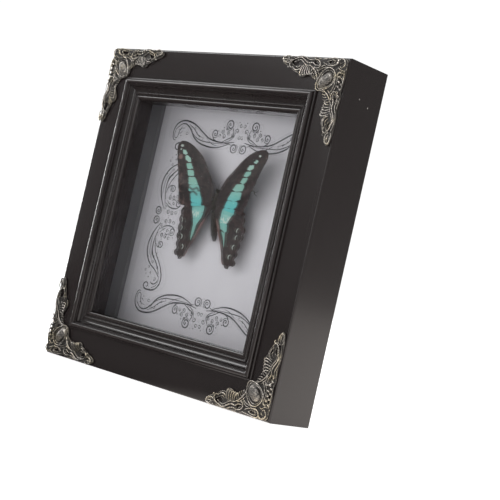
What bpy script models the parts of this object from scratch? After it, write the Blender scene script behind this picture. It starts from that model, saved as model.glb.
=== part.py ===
"""Framed butterfly specimen: a deep square wooden box frame with cast metal corners.

The frame stands on its lower edge. Its front faces -Y, +Z is up, and the origin is at the
middle of the bottom of the whole object's box. All lengths are metres.
"""
import math

import bmesh
import bpy
from mathutils import Matrix, Vector

MM = 0.001
WELD = 0.001 * MM

# Outer sizes of the frame
FRAME_SIDE = 169 * MM
FRAME_DEPTH = 28 * MM
HALF_SIDE = FRAME_SIDE / 2
ORNAMENT_RISE = 3.0 * MM
FACE_Y = (ORNAMENT_RISE - FRAME_DEPTH) / 2
FRAME_CENTRE = Vector((0, FACE_Y, HALF_SIDE))
SIDES = ("bottom", "left", "top", "right")

# The rail's section: u runs inwards from the outer side, v stands out from the flat face
EDGE_RADIUS = 1.0 * MM
FLAT_WIDTH = 15.9 * MM
SIGHT_U = 27.3 * MM
REBATE_U = 22.5 * MM
LIP_BACK_V = -11.3 * MM
MITRE_GAP = 0.1 * MM
SECTION_LAY = Matrix(((0, 0, 1, 0), (0, -1, 0, 0), (1, 0, 0, -HALF_SIDE), (0, 0, 0, 1)))

# What lies behind the lip, each as its depth behind the flat face
REBATE_HALF = HALF_SIDE - REBATE_U
PANEL_HALF = REBATE_HALF - 0.4 * MM
GLASS_DEPTHS = (11.4 * MM, 13.2 * MM)
SPACER_DEPTHS = (13.4 * MM, 23.7 * MM)
SPACER_HALF = (61.0 * MM, 61.8 * MM)
CARD_DEPTHS = (23.9 * MM, 24.4 * MM)
BOARD_DEPTHS = (24.6 * MM, 26.4 * MM)
TAB_DEPTHS = (26.7 * MM, 27.1 * MM)
HANGER_DEPTHS = (26.6 * MM, 27.2 * MM)
SPACER_GAP = 0.2 * MM

# Bent tabs that hold the back board, one on each side, with their reach from the centre
TAB_WIDTH = 7.0 * MM
TAB_REACH = (53.5 * MM, 63.8 * MM)
TAB_CLEARANCE = 0.3 * MM

# Sawtooth hanger on the back board
HANGER_WIDTH = 44 * MM
HANGER_HEIGHT = 9 * MM
HANGER_Z = 130 * MM
TOOTH_COUNT = 12
TOOTH_HEIGHT = 1.6 * MM
NAIL_RADIUS = 2.0 * MM

# Butterfly: z is height in the frame, s is distance from the insect's own middle line
INSECT_X = -0.5 * MM
FOREWING_DEPTH = 17.3 * MM
FOREWING_SLOPE = -0.095
HINDWING_DEPTH = 17.7 * MM
HINDWING_SLOPE = 0.055
WING_THICKNESS = 0.35 * MM
THORAX_CENTRE = (0, 18.7, 96.3)
THORAX_HALF = (1.9, 2.2, 5.4)
HEAD_CENTRE = (0, 18.4, 101.8)
HEAD_RADIUS = 1.15
EYE_RADIUS = 0.65
WING_ROOT_GAP = 0.3
BLOCK_RADIUS = 2.8 * MM
BLOCK_Z = 97.8 * MM

FOREWING_EDGE = (
    (4.6, 106.6), (9.3, 112.6), (14.8, 118.2), (21.6, 122.8), (27.6, 124.8), (31.7, 124.5),
    (33.3, 122.3), (32.8, 119.2), (31.0, 114.5), (29.2, 109.3), (27.4, 103.3), (25.6, 97.5),
    (23.6, 92.4), (18.5, 91.9), (12.0, 92.4), (6.0, 93.6),
)
HINDWING_EDGE = (
    (8.0, 97.4), (15.0, 97.0), (21.5, 94.6), (24.6, 90.6), (25.0, 86.2), (24.7, 81.6),
    (23.8, 76.6), (23.0, 72.4), (21.4, 69.8), (22.2, 66.4), (19.7, 64.4), (16.6, 65.5),
    (13.1, 67.0), (12.3, 70.8), (10.2, 74.6), (7.6, 79.4), (4.8, 85.2),
)
FOREWING_ROOT_Z = (94.5, 97.5, 100.0)
HINDWING_ROOT_Z = (91.8, 94.2, 96.3)
ABDOMEN_LINE = (
    (0.0, 19.9, 93.4, 1.3), (0.3, 20.2, 89.2, 1.5), (0.9, 20.6, 84.6, 1.4),
    (1.6, 21.3, 80.2, 1.15), (2.2, 21.9, 76.6, 0.6),
)

# Corner ornament, one arm: a runs along the arm from the corner, b across it, in mm
ORNAMENT_GAP = 0.1 * MM
PLATE_THICKNESS = 1.2 * MM
CABOCHON_PLACE = 10.5
CABOCHON_HALF = (6.2, 4.1)
DOME_HALF = (4.4, 2.8)
INNER_CORNER = (15.4, 15.4)
DOME_FOOT = 1.0 * MM
ARM_EDGE = (
    (4.2, 0.7), (8.2, 0.5), (12.4, 0.8), (15.8, 1.5), (19.0, 0.6), (23.5, 1.3), (28.0, 0.7),
    (33.0, 0.5), (37.6, 1.0), (41.3, 2.7), (39.6, 4.5), (36.6, 5.4), (33.4, 6.5), (30.8, 6.0),
    (29.4, 7.6), (28.4, 9.8), (26.0, 10.1), (23.6, 9.0), (21.4, 7.6), (19.4, 8.0), (17.4, 9.8),
    (16.6, 12.8),
)
ARM_HOLES = (
    ((30.6, 3.4), (32.6, 1.9), (35.4, 2.5), (34.6, 4.2), (32.0, 4.7)),
    ((17.2, 3.5), (19.2, 2.4), (21.4, 3.3), (19.6, 4.4)),
    ((7.0, 2.6), (9.6, 1.9), (12.4, 2.3), (11.6, 3.2), (8.8, 3.6)),
)

# Each scroll of an arm: its radius, its height above the frame, and the line that it follows
ARM_SCROLLS = (
    (0.75, 1.37, ((41.0, 2.9), (37.4, 1.5), (33.0, 1.0), (28.6, 2.4), (24.4, 3.7), (20.8, 2.0),
                  (17.6, 1.3), (14.6, 2.2), (12.0, 4.2), (8.8, 4.8), (5.6, 4.0), (5.4, 2.0),
                  (7.6, 1.3))),
    (0.65, 1.29, ((40.2, 4.0), (36.4, 4.9), (32.8, 5.8), (29.6, 5.0), (28.8, 3.2))),
    (0.60, 1.23, ((18.6, 5.0), (22.0, 5.4), (25.6, 4.8), (28.3, 4.9))),
)
COMB_START = 21.0
COMB_PITCH = 1.9
COMB_TEETH = 4
COMB_RADIUS = 0.6
COMB_HEIGHT = 1.13
RIM_RADIUS = 0.6
RIM_HEIGHT = 1.43

FRAME_BLACK = (0.030, 0.026, 0.026)
METAL = (0.30, 0.26, 0.20)
CARD_LILAC = (0.60, 0.58, 0.63)
WING_BROWN = (0.045, 0.035, 0.035)
BODY_BROWN = (0.035, 0.030, 0.028)


def clear_scene():
    """Remove whatever the file starts with."""
    for obj in list(bpy.data.objects):
        bpy.data.objects.remove(obj, do_unlink=True)


def collection(name):
    """A new collection in the scene."""
    made = bpy.data.collections.new(name)
    bpy.context.scene.collection.children.link(made)
    return made


def material(name, colour, roughness, metallic=0.0, transmission=0.0):
    """A Principled BSDF with the piece's colour and finish."""
    made = bpy.data.materials.new(name)
    made.use_nodes = True
    shader = made.node_tree.nodes["Principled BSDF"]
    shader.inputs["Base Color"].default_value = (*colour, 1)
    shader.inputs["Roughness"].default_value = roughness
    shader.inputs["Metallic"].default_value = metallic
    shader.inputs["Transmission Weight"].default_value = transmission
    return made


def add_object(name, data, finish, home, matrix=None):
    """Link data as an object, in its material and at its place."""
    obj = bpy.data.objects.new(name, data)
    home.objects.link(obj)
    if finish:
        data.materials.clear()
        data.materials.append(finish)
    if matrix:
        obj.matrix_world = matrix
    return obj


def arc(centre, radius, start, end, steps):
    """Points on an arc, with its angles in degrees."""
    points = []
    for step in range(steps + 1):
        angle = math.radians(start + (end - start) * step / steps)
        points.append((centre[0] + radius * math.cos(angle), centre[1] + radius * math.sin(angle)))
    return points


def flat_curve(outlines, thickness, smooth=True, resolution=2):
    """A filled 2D curve of closed outlines, extruded to the thickness. Holes are outlines too."""
    data = bpy.data.curves.new("outline", "CURVE")
    data.dimensions = "2D"
    data.fill_mode = "BOTH"
    data.extrude = thickness / 2
    data.resolution_u = resolution
    for outline in outlines:
        if smooth:
            spline = data.splines.new("BEZIER")
            spline.bezier_points.add(len(outline) - 1)
            for point, place in zip(spline.bezier_points, outline):
                point.co = (place[0], place[1], 0)
                point.handle_left_type = "AUTO"
                point.handle_right_type = "AUTO"
        else:
            spline = data.splines.new("POLY")
            spline.points.add(len(outline) - 1)
            for point, place in zip(spline.points, outline):
                point.co = (place[0], place[1], 0, 1)
        spline.use_cyclic_u = True
    return data


def tube_curve(points, radius, cyclic=False, resolution=2, sides=1):
    """A round tube through smooth points, each (x, y, z) or (x, y, z, share of the radius)."""
    data = bpy.data.curves.new("tube", "CURVE")
    data.dimensions = "3D"
    data.bevel_depth = radius
    data.bevel_resolution = sides
    data.resolution_u = resolution
    data.use_fill_caps = not cyclic
    spline = data.splines.new("BEZIER")
    spline.bezier_points.add(len(points) - 1)
    for point, place in zip(spline.bezier_points, points):
        point.co = place[:3]
        point.radius = place[3] if len(place) > 3 else 1.0
        point.handle_left_type = "AUTO"
        point.handle_right_type = "AUTO"
    spline.use_cyclic_u = cyclic
    return data


def mesh_of(obj, weld=WELD):
    """The object's evaluated mesh in world space, with its caps welded. The object is removed."""
    bpy.context.view_layer.update()
    evaluated = obj.evaluated_get(bpy.context.evaluated_depsgraph_get())
    mesh = bpy.data.meshes.new_from_object(evaluated)
    mesh.transform(obj.matrix_world)
    bm = bmesh.new()
    bm.from_mesh(mesh)
    if weld:
        bmesh.ops.remove_doubles(bm, verts=bm.verts, dist=weld)
        bmesh.ops.recalc_face_normals(bm, faces=bm.faces)
    bm.to_mesh(mesh)
    bm.free()
    bpy.data.objects.remove(obj)
    return mesh


def solid(data, home, matrix=None):
    """A curve or mesh made one welded mesh at its place."""
    return mesh_of(add_object("blank", data, None, home, matrix))


def box_mesh(low, high):
    """A box between two corners."""
    mesh = bpy.data.meshes.new("box")
    bm = bmesh.new()
    bmesh.ops.create_cube(bm, size=1)
    for vert in bm.verts:
        vert.co = [low[i] + (vert.co[i] + 0.5) * (high[i] - low[i]) for i in range(3)]
    bm.to_mesh(mesh)
    bm.free()
    return mesh


def ball_mesh(centre, half, segments=12, rings=7):
    """A sphere stretched to its three half sizes."""
    mesh = bpy.data.meshes.new("ball")
    bm = bmesh.new()
    bmesh.ops.create_uvsphere(bm, u_segments=segments, v_segments=rings, radius=1)
    bmesh.ops.scale(bm, vec=half, verts=bm.verts)
    bmesh.ops.translate(bm, vec=centre, verts=bm.verts)
    bm.to_mesh(mesh)
    bm.free()
    return mesh


def joined(base, others, home):
    """One mesh from a base and all the meshes that overlap it, by a single Boolean union."""
    body = add_object("blank", base, None, home)
    tools = collection("tools")
    for mesh in others:
        add_object("tool", mesh, None, tools)
    boolean = body.modifiers.new("join", "BOOLEAN")
    boolean.operation = "UNION"
    boolean.solver = "EXACT"
    boolean.operand_type = "COLLECTION"
    boolean.collection = tools
    mesh = mesh_of(body, weld=None)
    for tool in list(tools.objects):
        bpy.data.objects.remove(tool)
    bpy.data.collections.remove(tools)
    return mesh


def soften(obj, width):
    """A small bevel on sharp edges."""
    bevel = obj.modifiers.new("edge", "BEVEL")
    bevel.width = width
    bevel.segments = 1
    bevel.limit_method = "ANGLE"
    bevel.angle_limit = math.radians(40)


def smooth(mesh, angle=35):
    """Smooth shading with sharp corners kept."""
    mesh.shade_smooth()
    mesh.set_sharp_from_angle(angle=math.radians(angle))


def rail_section():
    """The moulding's outline: edge, flat border, roll and crest, cove, bead, lip and rebate."""
    edge = arc((1.0, -1.0), EDGE_RADIUS / MM, 180, 90, 3)
    roll = arc((16.6, 0.45), 0.7, 180, 45, 3)
    crest = arc((18.2, 1.55), 1.25, 180, 0, 7)
    ledge = [(20.1, 1.45)]
    cove = arc((22.9, 1.2), 2.7, 180, 270, 5)
    bead = arc((23.6, -1.5), 0.55, 180, 0, 5)
    lip = arc((25.8, -2.5), 1.5, 145, 0, 6)
    foot = [(FLAT_WIDTH / MM, 0)]
    inside = [
        (SIGHT_U / MM, LIP_BACK_V / MM), (REBATE_U / MM, LIP_BACK_V / MM),
        (REBATE_U / MM, -FRAME_DEPTH / MM), (0, -FRAME_DEPTH / MM),
    ]
    outline = edge + foot + roll + crest + ledge + cove + bead + lip + inside
    return [(u * MM, v * MM) for u, v in outline]


def side_turn(turn):
    """Turns what is laid out on the lower side to one of the four sides, by quarter turns."""
    return Matrix.Translation(FRAME_CENTRE) @ Matrix.Rotation(turn * math.pi / 2, 4, "Y")


def add_rails(finish, home, cutters):
    """Four mitred rails, each with a slot that its bent tab goes into."""
    half_slot = TAB_WIDTH / 2 + TAB_CLEARANCE
    slot_low = (-half_slot, TAB_DEPTHS[0] - TAB_CLEARANCE, -TAB_REACH[1] - TAB_CLEARANCE)
    slot_high = (half_slot, TAB_DEPTHS[1] + TAB_CLEARANCE, -REBATE_HALF + 1 * MM)
    for turn, side in enumerate(SIDES):
        mesh = solid(flat_curve([rail_section()], FRAME_SIDE, smooth=False), home)
        for vert in mesh.vertices:
            reach = HALF_SIDE - vert.co.x - MITRE_GAP
            vert.co.z = math.copysign(reach, vert.co.z)
        rail = add_object(f"rail_{side}", mesh, finish, home, side_turn(turn) @ SECTION_LAY)
        cutter = add_object(f"slot_{side}", box_mesh(slot_low, slot_high), None, cutters, side_turn(turn))
        cutter.hide_render = True
        cutter.display_type = "WIRE"
        cut = rail.modifiers.new("tab slot", "BOOLEAN")
        cut.operation = "DIFFERENCE"
        cut.solver = "EXACT"
        cut.object = cutter
        smooth(mesh)


def add_slab(name, half_width, depths, finish, home, edge=0.15 * MM):
    """A square sheet in the rebate, between two depths."""
    low = (-half_width, FACE_Y + depths[0], HALF_SIDE - half_width)
    high = (half_width, FACE_Y + depths[1], HALF_SIDE + half_width)
    slab = add_object(name, box_mesh(low, high), finish, home)
    soften(slab, edge)


def add_spacers(finish, home):
    """Four strips between the glass and the card, the upright ones inside the level ones."""
    inner, outer = SPACER_HALF
    for turn, side in enumerate(SIDES):
        reach = inner - SPACER_GAP if turn % 2 else outer
        low = (-reach, SPACER_DEPTHS[0], -outer)
        high = (reach, SPACER_DEPTHS[1], -inner)
        add_object(f"spacer_{side}", box_mesh(low, high), finish, home, side_turn(turn))


def add_tabs(finish, home):
    """A flat metal tab on each side, from a slot in the rail to over the back board."""
    middle = (TAB_DEPTHS[0] + TAB_DEPTHS[1]) / 2
    half = TAB_WIDTH / 2
    inner, outer = TAB_REACH
    outline = [(half, -outer)] + arc((0, -inner - half), half, 0, 180, 8) + [(-half, -outer)]
    lay = Matrix.Translation((0, middle, 0)) @ Matrix.Rotation(math.pi / 2, 4, "X")
    for turn, side in enumerate(SIDES):
        data = flat_curve([outline], TAB_DEPTHS[1] - TAB_DEPTHS[0], smooth=False)
        add_object(f"backing_tab_{side}", solid(data, home, side_turn(turn) @ lay), finish, home)


def add_hanger(finish, home):
    """A sawtooth plate with its two nail heads, on the back board."""
    half = HANGER_WIDTH / 2
    top = HANGER_HEIGHT / 2
    toothed = half - 3 * NAIL_RADIUS
    pitch = 2 * toothed / TOOTH_COUNT
    outline = [(half, -top), (half, top), (-half, top), (-half, -top), (-toothed, -top)]
    for tooth in range(TOOTH_COUNT):
        start = -toothed + tooth * pitch
        outline.append((start + pitch / 2, -top + TOOTH_HEIGHT))
        outline.append((start + pitch, -top))
    thickness = HANGER_DEPTHS[1] - HANGER_DEPTHS[0]
    middle = FACE_Y + (HANGER_DEPTHS[0] + HANGER_DEPTHS[1]) / 2
    lay = Matrix.Translation((0, middle, HANGER_Z)) @ Matrix.Rotation(math.pi / 2, 4, "X")
    plate = solid(flat_curve([outline], thickness, smooth=False), home, lay)
    heads = []
    for side in (-1, 1):
        place = (side * (half - 1.6 * NAIL_RADIUS), middle + thickness / 4, HANGER_Z)
        heads.append(ball_mesh(place, (NAIL_RADIUS, 0.4 * NAIL_RADIUS / 2, NAIL_RADIUS), 12, 6))
    add_object("sawtooth_hanger", joined(plate, heads, home), finish, home)


def swapped(points):
    """The other arm of the corner: its points mirrored across the diagonal."""
    return [(point[1], point[0], *point[2:]) for point in points]


def cabochon_outline(half_length, half_width, steps):
    """An almond on the diagonal, round at the corner end and pointed at the inner end."""
    points = []
    for step in range(steps):
        angle = 2 * math.pi * step / steps
        along = half_length * math.cos(angle)
        across = half_width * math.sin(angle) * (1 - 0.28 * math.cos(angle))
        diagonal = math.sqrt(0.5)
        points.append((
            CABOCHON_PLACE + (along - across) * diagonal,
            CABOCHON_PLACE + (along + across) * diagonal,
        ))
    return points


def comb_tooth(index):
    """One ridge of the comb that hangs from the scroll, longer towards the leaf."""
    start = COMB_START + index * COMB_PITCH
    length = 6.3 + 1.6 * math.sin(index * 0.9)
    return ((start, 3.2), (start + 0.7, 5.4), (start - 0.1, length + 1.1))


def ornament_mesh(home):
    """The pierced cast corner as one solid, laid flat: a and b are X and Y, its height is Z."""
    outer = [(1.0, 1.0)] + list(ARM_EDGE) + [INNER_CORNER] + swapped(ARM_EDGE)[::-1]
    holes = [list(hole) for hole in ARM_HOLES]
    holes += [swapped(hole) for hole in ARM_HOLES]
    scaled = [[(a * MM, b * MM) for a, b in outline] for outline in [outer] + holes]
    lift = Matrix.Translation((0, 0, PLATE_THICKNESS / 2))
    plate = solid(flat_curve(scaled, PLATE_THICKNESS, resolution=1), home, lift)
    strokes = list(ARM_SCROLLS)
    strokes += [(COMB_RADIUS, COMB_HEIGHT, comb_tooth(index)) for index in range(COMB_TEETH)]
    strokes += [(radius, height - 0.04, swapped(line)) for radius, height, line in strokes]
    strokes.append((RIM_RADIUS, RIM_HEIGHT, cabochon_outline(*CABOCHON_HALF, 14)))
    relief = []
    for radius, height, line in strokes:
        places = [(a * MM, b * MM, height * MM) for a, b in line]
        closed = line == strokes[-1][2]
        relief.append(solid(tube_curve(places, radius * MM, closed, resolution=1), home))
    dome_rise = ORNAMENT_RISE - ORNAMENT_GAP - DOME_FOOT
    dome = ball_mesh((0, 0, 0), (DOME_HALF[0] * MM, DOME_HALF[1] * MM, dome_rise))
    for vert in dome.vertices:
        vert.co.z = max(vert.co.z, -0.3 * MM)
    dome.transform(Matrix.Rotation(math.pi / 4, 4, "Z"))
    place = CABOCHON_PLACE * MM
    dome.transform(Matrix.Translation((place, place, DOME_FOOT)))
    return joined(plate, relief + [dome], home)


def add_ornaments(finish, home):
    """One casting in each corner, mirrored from the first."""
    pattern = ornament_mesh(home)
    front = FACE_Y - ORNAMENT_GAP
    for name, side, top in (
        ("corner_top_left", -1, True), ("corner_top_right", 1, True),
        ("corner_bottom_left", -1, False), ("corner_bottom_right", 1, False),
    ):
        mesh = pattern.copy()
        edge = FRAME_SIDE if top else 0
        rise = -1 if top else 1
        mesh.transform(Matrix((
            (-side, 0, 0, side * HALF_SIDE),
            (0, 0, -1, front),
            (0, rise, 0, edge),
            (0, 0, 0, 1),
        )))
        if side * rise > 0:
            mesh.flip_normals()
        smooth(mesh)
        add_object(name, mesh, finish, home)


def thorax_edge(z, depth):
    """The thorax's half width at a height, where a wing of that depth meets it, in mm."""
    off_z = (z - THORAX_CENTRE[2]) / THORAX_HALF[2]
    off_depth = (depth - THORAX_CENTRE[1]) / THORAX_HALF[1]
    return THORAX_HALF[0] * math.sqrt(max(0, 1 - off_z ** 2 - off_depth ** 2))


def add_wing(name, edge, root_heights, side, depth, slope, finish, home):
    """A thin wing from its outline, hinged at the body and tilted by its slope."""
    root = [(thorax_edge(z, depth / MM) + WING_ROOT_GAP, z) for z in root_heights]
    outline = [(side * s * MM, (z - THORAX_CENTRE[2]) * MM) for s, z in root + list(edge)]
    lay = Matrix.Rotation(math.pi / 2, 4, "X")
    tilt = Matrix.Rotation(side * math.atan(slope), 4, "Z")
    place = Matrix.Translation((INSECT_X, FACE_Y + depth, THORAX_CENTRE[2] * MM))
    mesh = solid(flat_curve([outline], WING_THICKNESS), home, place @ tilt @ lay)
    add_object(name, mesh, finish, home)


def insect_place(point):
    """A place given as (s, depth, z) in mm, in world metres."""
    return (INSECT_X + point[0] * MM, FACE_Y + point[1] * MM, point[2] * MM)


def add_body(finish, home):
    """Thorax, head with its two eyes, and the abdomen that droops towards the card."""
    thorax = ball_mesh(insect_place(THORAX_CENTRE), [half * MM for half in THORAX_HALF])
    head = ball_mesh(insect_place(HEAD_CENTRE), [HEAD_RADIUS * MM] * 3)
    abdomen_line = [(*insect_place(point), point[3]) for point in ABDOMEN_LINE]
    abdomen = solid(tube_curve(abdomen_line, MM, resolution=2, sides=2), home)
    parts = [head, abdomen]
    for side in (-1, 1):
        place = (side * HEAD_RADIUS * 0.75, HEAD_CENTRE[1] - 0.2, HEAD_CENTRE[2] + 0.3)
        parts.append(ball_mesh(insect_place(place), [EYE_RADIUS * MM] * 3, 10, 6))
    mesh = joined(thorax, parts, home)
    smooth(mesh, 60)
    add_object("butterfly_body", mesh, finish, home)


def add_mounting_block(finish, home):
    """The cork disc under the thorax that carries the insect off the card."""
    thorax_back = FACE_Y + (THORAX_CENTRE[1] + THORAX_HALF[1] + 0.1) * MM
    card_front = FACE_Y + CARD_DEPTHS[0] - 0.1 * MM
    mesh = bpy.data.meshes.new("disc")
    bm = bmesh.new()
    bmesh.ops.create_cone(
        bm, cap_ends=True, segments=24, radius1=BLOCK_RADIUS, radius2=BLOCK_RADIUS,
        depth=card_front - thorax_back,
    )
    bm.to_mesh(mesh)
    bm.free()
    place = Matrix.Translation((INSECT_X, (thorax_back + card_front) / 2, BLOCK_Z))
    mesh.transform(place @ Matrix.Rotation(math.pi / 2, 4, "X"))
    add_object("mounting_block", mesh, finish, home)


def main():
    """Build every piece in its own named object."""
    clear_scene()
    home = collection("framed_butterfly")
    cutters = collection("cutters")
    black = material("black_paint", FRAME_BLACK, 0.42)
    antique = material("antique_metal", METAL, 0.45, metallic=0.9)
    zinc = material("zinc_plate", (0.45, 0.44, 0.42), 0.35, metallic=1.0)
    glass = material("clear_glass", (0.95, 1.0, 0.98), 0.02, transmission=1.0)
    grey_card = material("grey_card", (0.05, 0.05, 0.055), 0.8)
    lilac_card = material("printed_card", CARD_LILAC, 0.7)
    board = material("fibreboard", (0.24, 0.16, 0.09), 0.8)
    wing = material("wing_scales", WING_BROWN, 0.6)
    body = material("body_hair", BODY_BROWN, 0.8)
    cork = material("cork", (0.42, 0.28, 0.16), 0.9)

    add_rails(black, home, cutters)
    add_slab("glass_pane", PANEL_HALF, GLASS_DEPTHS, glass, home)
    add_spacers(grey_card, home)
    add_slab("printed_card", PANEL_HALF, CARD_DEPTHS, lilac_card, home, 0.05 * MM)
    add_slab("back_board", PANEL_HALF, BOARD_DEPTHS, board, home)
    add_tabs(zinc, home)
    add_hanger(zinc, home)
    add_ornaments(antique, home)
    for word, side in (("left", -1), ("right", 1)):
        add_wing(f"forewing_{word}", FOREWING_EDGE, FOREWING_ROOT_Z, side,
                 FOREWING_DEPTH, FOREWING_SLOPE, wing, home)
        add_wing(f"hindwing_{word}", HINDWING_EDGE, HINDWING_ROOT_Z, side,
                 HINDWING_DEPTH, HINDWING_SLOPE, wing, home)
    add_body(body, home)
    add_mounting_block(cork, home)


main()
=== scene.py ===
"""Looks of a framed butterfly specimen: a deep square box frame with cast metal corners.

The packed model is loaded as a fixed frame, and every piece here is made in its place, in metres.
"""
import math
import random

import bpy
from mathutils import Matrix, Vector, geometry, noise


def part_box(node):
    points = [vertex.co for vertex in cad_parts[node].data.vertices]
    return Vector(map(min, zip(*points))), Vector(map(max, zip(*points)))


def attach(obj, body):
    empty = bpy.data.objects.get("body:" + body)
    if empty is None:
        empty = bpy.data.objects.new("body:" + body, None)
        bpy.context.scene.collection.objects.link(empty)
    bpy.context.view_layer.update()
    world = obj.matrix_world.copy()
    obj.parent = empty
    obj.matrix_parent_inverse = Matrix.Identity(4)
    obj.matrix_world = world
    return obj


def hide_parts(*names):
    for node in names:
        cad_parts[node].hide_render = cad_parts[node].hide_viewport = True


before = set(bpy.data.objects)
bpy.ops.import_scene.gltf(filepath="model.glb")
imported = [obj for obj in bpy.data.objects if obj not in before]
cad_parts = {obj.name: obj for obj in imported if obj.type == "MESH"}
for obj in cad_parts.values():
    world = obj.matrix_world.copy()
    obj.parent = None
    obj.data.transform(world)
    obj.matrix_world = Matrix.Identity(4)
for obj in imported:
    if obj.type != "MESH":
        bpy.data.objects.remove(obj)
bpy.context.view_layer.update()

bl_info = {
    "name": "Framed Butterfly Specimen",
    "version": (1, 0, 0),
    "blender": (4, 5, 0),
    "location": "View3D > Sidebar > Specimen",
    "description": "Makes the looks of a framed butterfly specimen on its packed model",
    "category": "Add Mesh",
}

MM = 0.001

# The packed model's own measures, in millimetres
HALF_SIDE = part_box("rail_right")[1].x / MM
FRAME_DEPTH = 28.0
FACE_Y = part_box("rail_right")[1].y / MM - FRAME_DEPTH
FRAME_CENTRE = Vector((0, FACE_Y, HALF_SIDE)) * MM
SIDES = ("bottom", "left", "top", "right")
MITRE_GAP = 0.1
CARD_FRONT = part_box("printed_card")[0].y / MM
PRINT_CENTRE = (0.9, 85.0)
INSECT_X = -0.5
THORAX_Z = 96.3

# Two small nicks in the right side's paint: place and size, in metres
NICKS = (((0.0845, -0.00093, 0.15278), 0.00036), ((0.0845, 0.00593, 0.15034), 0.00042))

# Corner casting: a runs along an arm from the corner and b across it. A stroke has a radius, a height
# and its points. Everything is in millimetres.
ORNAMENT_GAP = 0.1
PLATE_EDGE = (
    (4.2, 0.7), (8.2, 0.5), (12.4, 0.8), (15.8, 1.3), (19.0, 0.6), (23.5, 1.1), (28.0, 0.6),
    (33.0, 0.5), (37.6, 0.9), (41.3, 2.6), (39.6, 4.3), (36.6, 5.4), (33.4, 6.7), (31.2, 6.2),
    (30.4, 8.0), (28.6, 10.0), (26.2, 10.0), (23.8, 8.7), (21.4, 7.6), (19.4, 8.0), (17.4, 9.8),
    (16.6, 12.8),
)
PLATE_HOLES = (
    ((30.4, 3.6), (32.4, 2.1), (35.2, 2.4), (34.6, 4.2), (32.0, 4.9)),
    ((17.2, 3.4), (19.2, 2.4), (21.2, 3.0), (19.4, 4.3)),
    ((7.4, 2.7), (9.6, 2.0), (12.2, 2.4), (11.4, 3.3), (8.8, 3.6)),
)
ARM_STROKES = (
    (0.37, 1.80, ((17.1, 4.4), (19.2, 4.5), (21.2, 3.4), (23.8, 3.6), (26.3, 2.4), (28.8, 1.2),
                  (32.0, 1.9), (34.3, 2.8), (35.5, 4.6), (34.6, 6.0), (33.2, 5.9))),
    (0.28, 1.50, ((33.6, 3.7), (31.6, 2.8), (29.2, 2.3), (27.2, 3.4), (25.2, 4.5), (23.0, 4.8))),
    (0.28, 1.45, ((34.8, 1.4), (32.2, 0.8), (29.0, 0.5), (26.4, 0.9), (24.2, 1.9), (22.0, 2.0),
                  (20.2, 1.2))),
    (0.24, 1.35, ((25.4, 0.7), (23.6, 0.8), (21.6, 0.7), (19.6, 0.6))),
    (0.36, 1.65, ((16.2, 10.9), (17.6, 8.6), (19.2, 6.9), (20.8, 5.7), (23.4, 4.4))),
    (0.25, 1.40, ((16.0, 8.8), (17.4, 7.2), (19.0, 5.9), (20.6, 5.0))),
    (0.34, 1.55, ((27.8, 5.0), (28.6, 6.5), (30.4, 7.2), (32.4, 6.8), (33.6, 5.6))),
    (0.24, 1.40, ((29.0, 4.9), (30.4, 5.9), (32.2, 5.4))),
    (0.24, 1.30, ((28.4, 7.6), (30.2, 8.2), (32.4, 7.6), (34.2, 6.6))),
    (0.36, 1.60, ((35.1, 2.1), (36.2, 3.5), (37.8, 3.9), (40.6, 2.0), (38.6, 0.7), (36.4, 0.6),
                  (35.3, 1.4))),
    (0.28, 1.65, ((35.8, 2.2), (38.0, 2.3), (41.2, 2.0))),
    (0.22, 1.40, ((36.6, 2.9), (38.2, 3.1), (39.6, 2.7))),
    (0.22, 1.40, ((36.8, 1.5), (38.2, 1.3), (39.6, 1.4))),
    (0.30, 1.50, ((36.4, 3.8), (35.8, 5.2), (36.4, 6.0), (37.2, 5.0))),
    (0.28, 1.50, ((18.6, 8.9), (15.8, 6.3), (12.0, 5.2), (8.8, 5.2))),
    (0.24, 1.35, ((17.4, 6.4), (14.8, 4.7), (12.4, 4.2))),
    (0.32, 1.60, ((21.4, 2.6), (20.2, 1.9), (18.6, 1.9), (17.2, 2.7), (16.4, 4.0), (17.0, 5.4),
                  (18.6, 5.9), (20.2, 5.4))),
    (0.24, 1.35, ((20.0, 3.2), (18.6, 2.9), (17.9, 3.7))),
)
RIBS = 5
FEATHER_STROKES = tuple(
    (0.25, 1.45, ((17.0 + 1.0 * row, 9.3 - 0.8 * row), (17.0 + 1.15 * row, 10.3 - 0.7 * row),
                  (16.7 + 1.3 * row, 11.6 - 0.65 * row), (16.2 + 1.3 * row, 12.2 - 0.65 * row)))
    for row in range(RIBS)
)
COMB_STROKES = tuple(
    (0.31, 1.60 + 0.03 * row, ((22.6 + 1.0 * row, 5.0 - 0.15 * row), (22.7 + 1.25 * row, 6.6),
                               (22.3 + 1.4 * row, 8.2 + 0.25 * row), (21.4 + 1.45 * row, 8.9 + 0.2 * row),
                               (20.9 + 1.5 * row, 8.2 + 0.1 * row)))
    for row in range(RIBS)
)
LOOP_STROKES = (
    (0.34, 1.72, ((16.0, 1.6), (13.2, 1.3), (9.4, 0.9), (6.6, 1.0), (5.6, 2.4), (6.8, 3.9), (9.6, 4.4),
                  (12.8, 3.9), (14.8, 2.9))),
    (0.26, 1.50, ((13.0, 2.4), (10.4, 1.9), (7.9, 2.1), (8.4, 3.2), (11.0, 3.2))),
)
BEAD_STROKES = (
    (0.30, 1.45, ((16.4, 0.7), (13.0, 0.6), (9.4, 0.6), (6.4, 1.0))),
    (0.30, 1.55, ((6.6, 2.6), (8.4, 4.4), (11.4, 4.1), (14.4, 4.4))),
    (0.22, 1.35, ((7.0, 1.9), (9.0, 2.3), (11.0, 2.2))),
)
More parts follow.
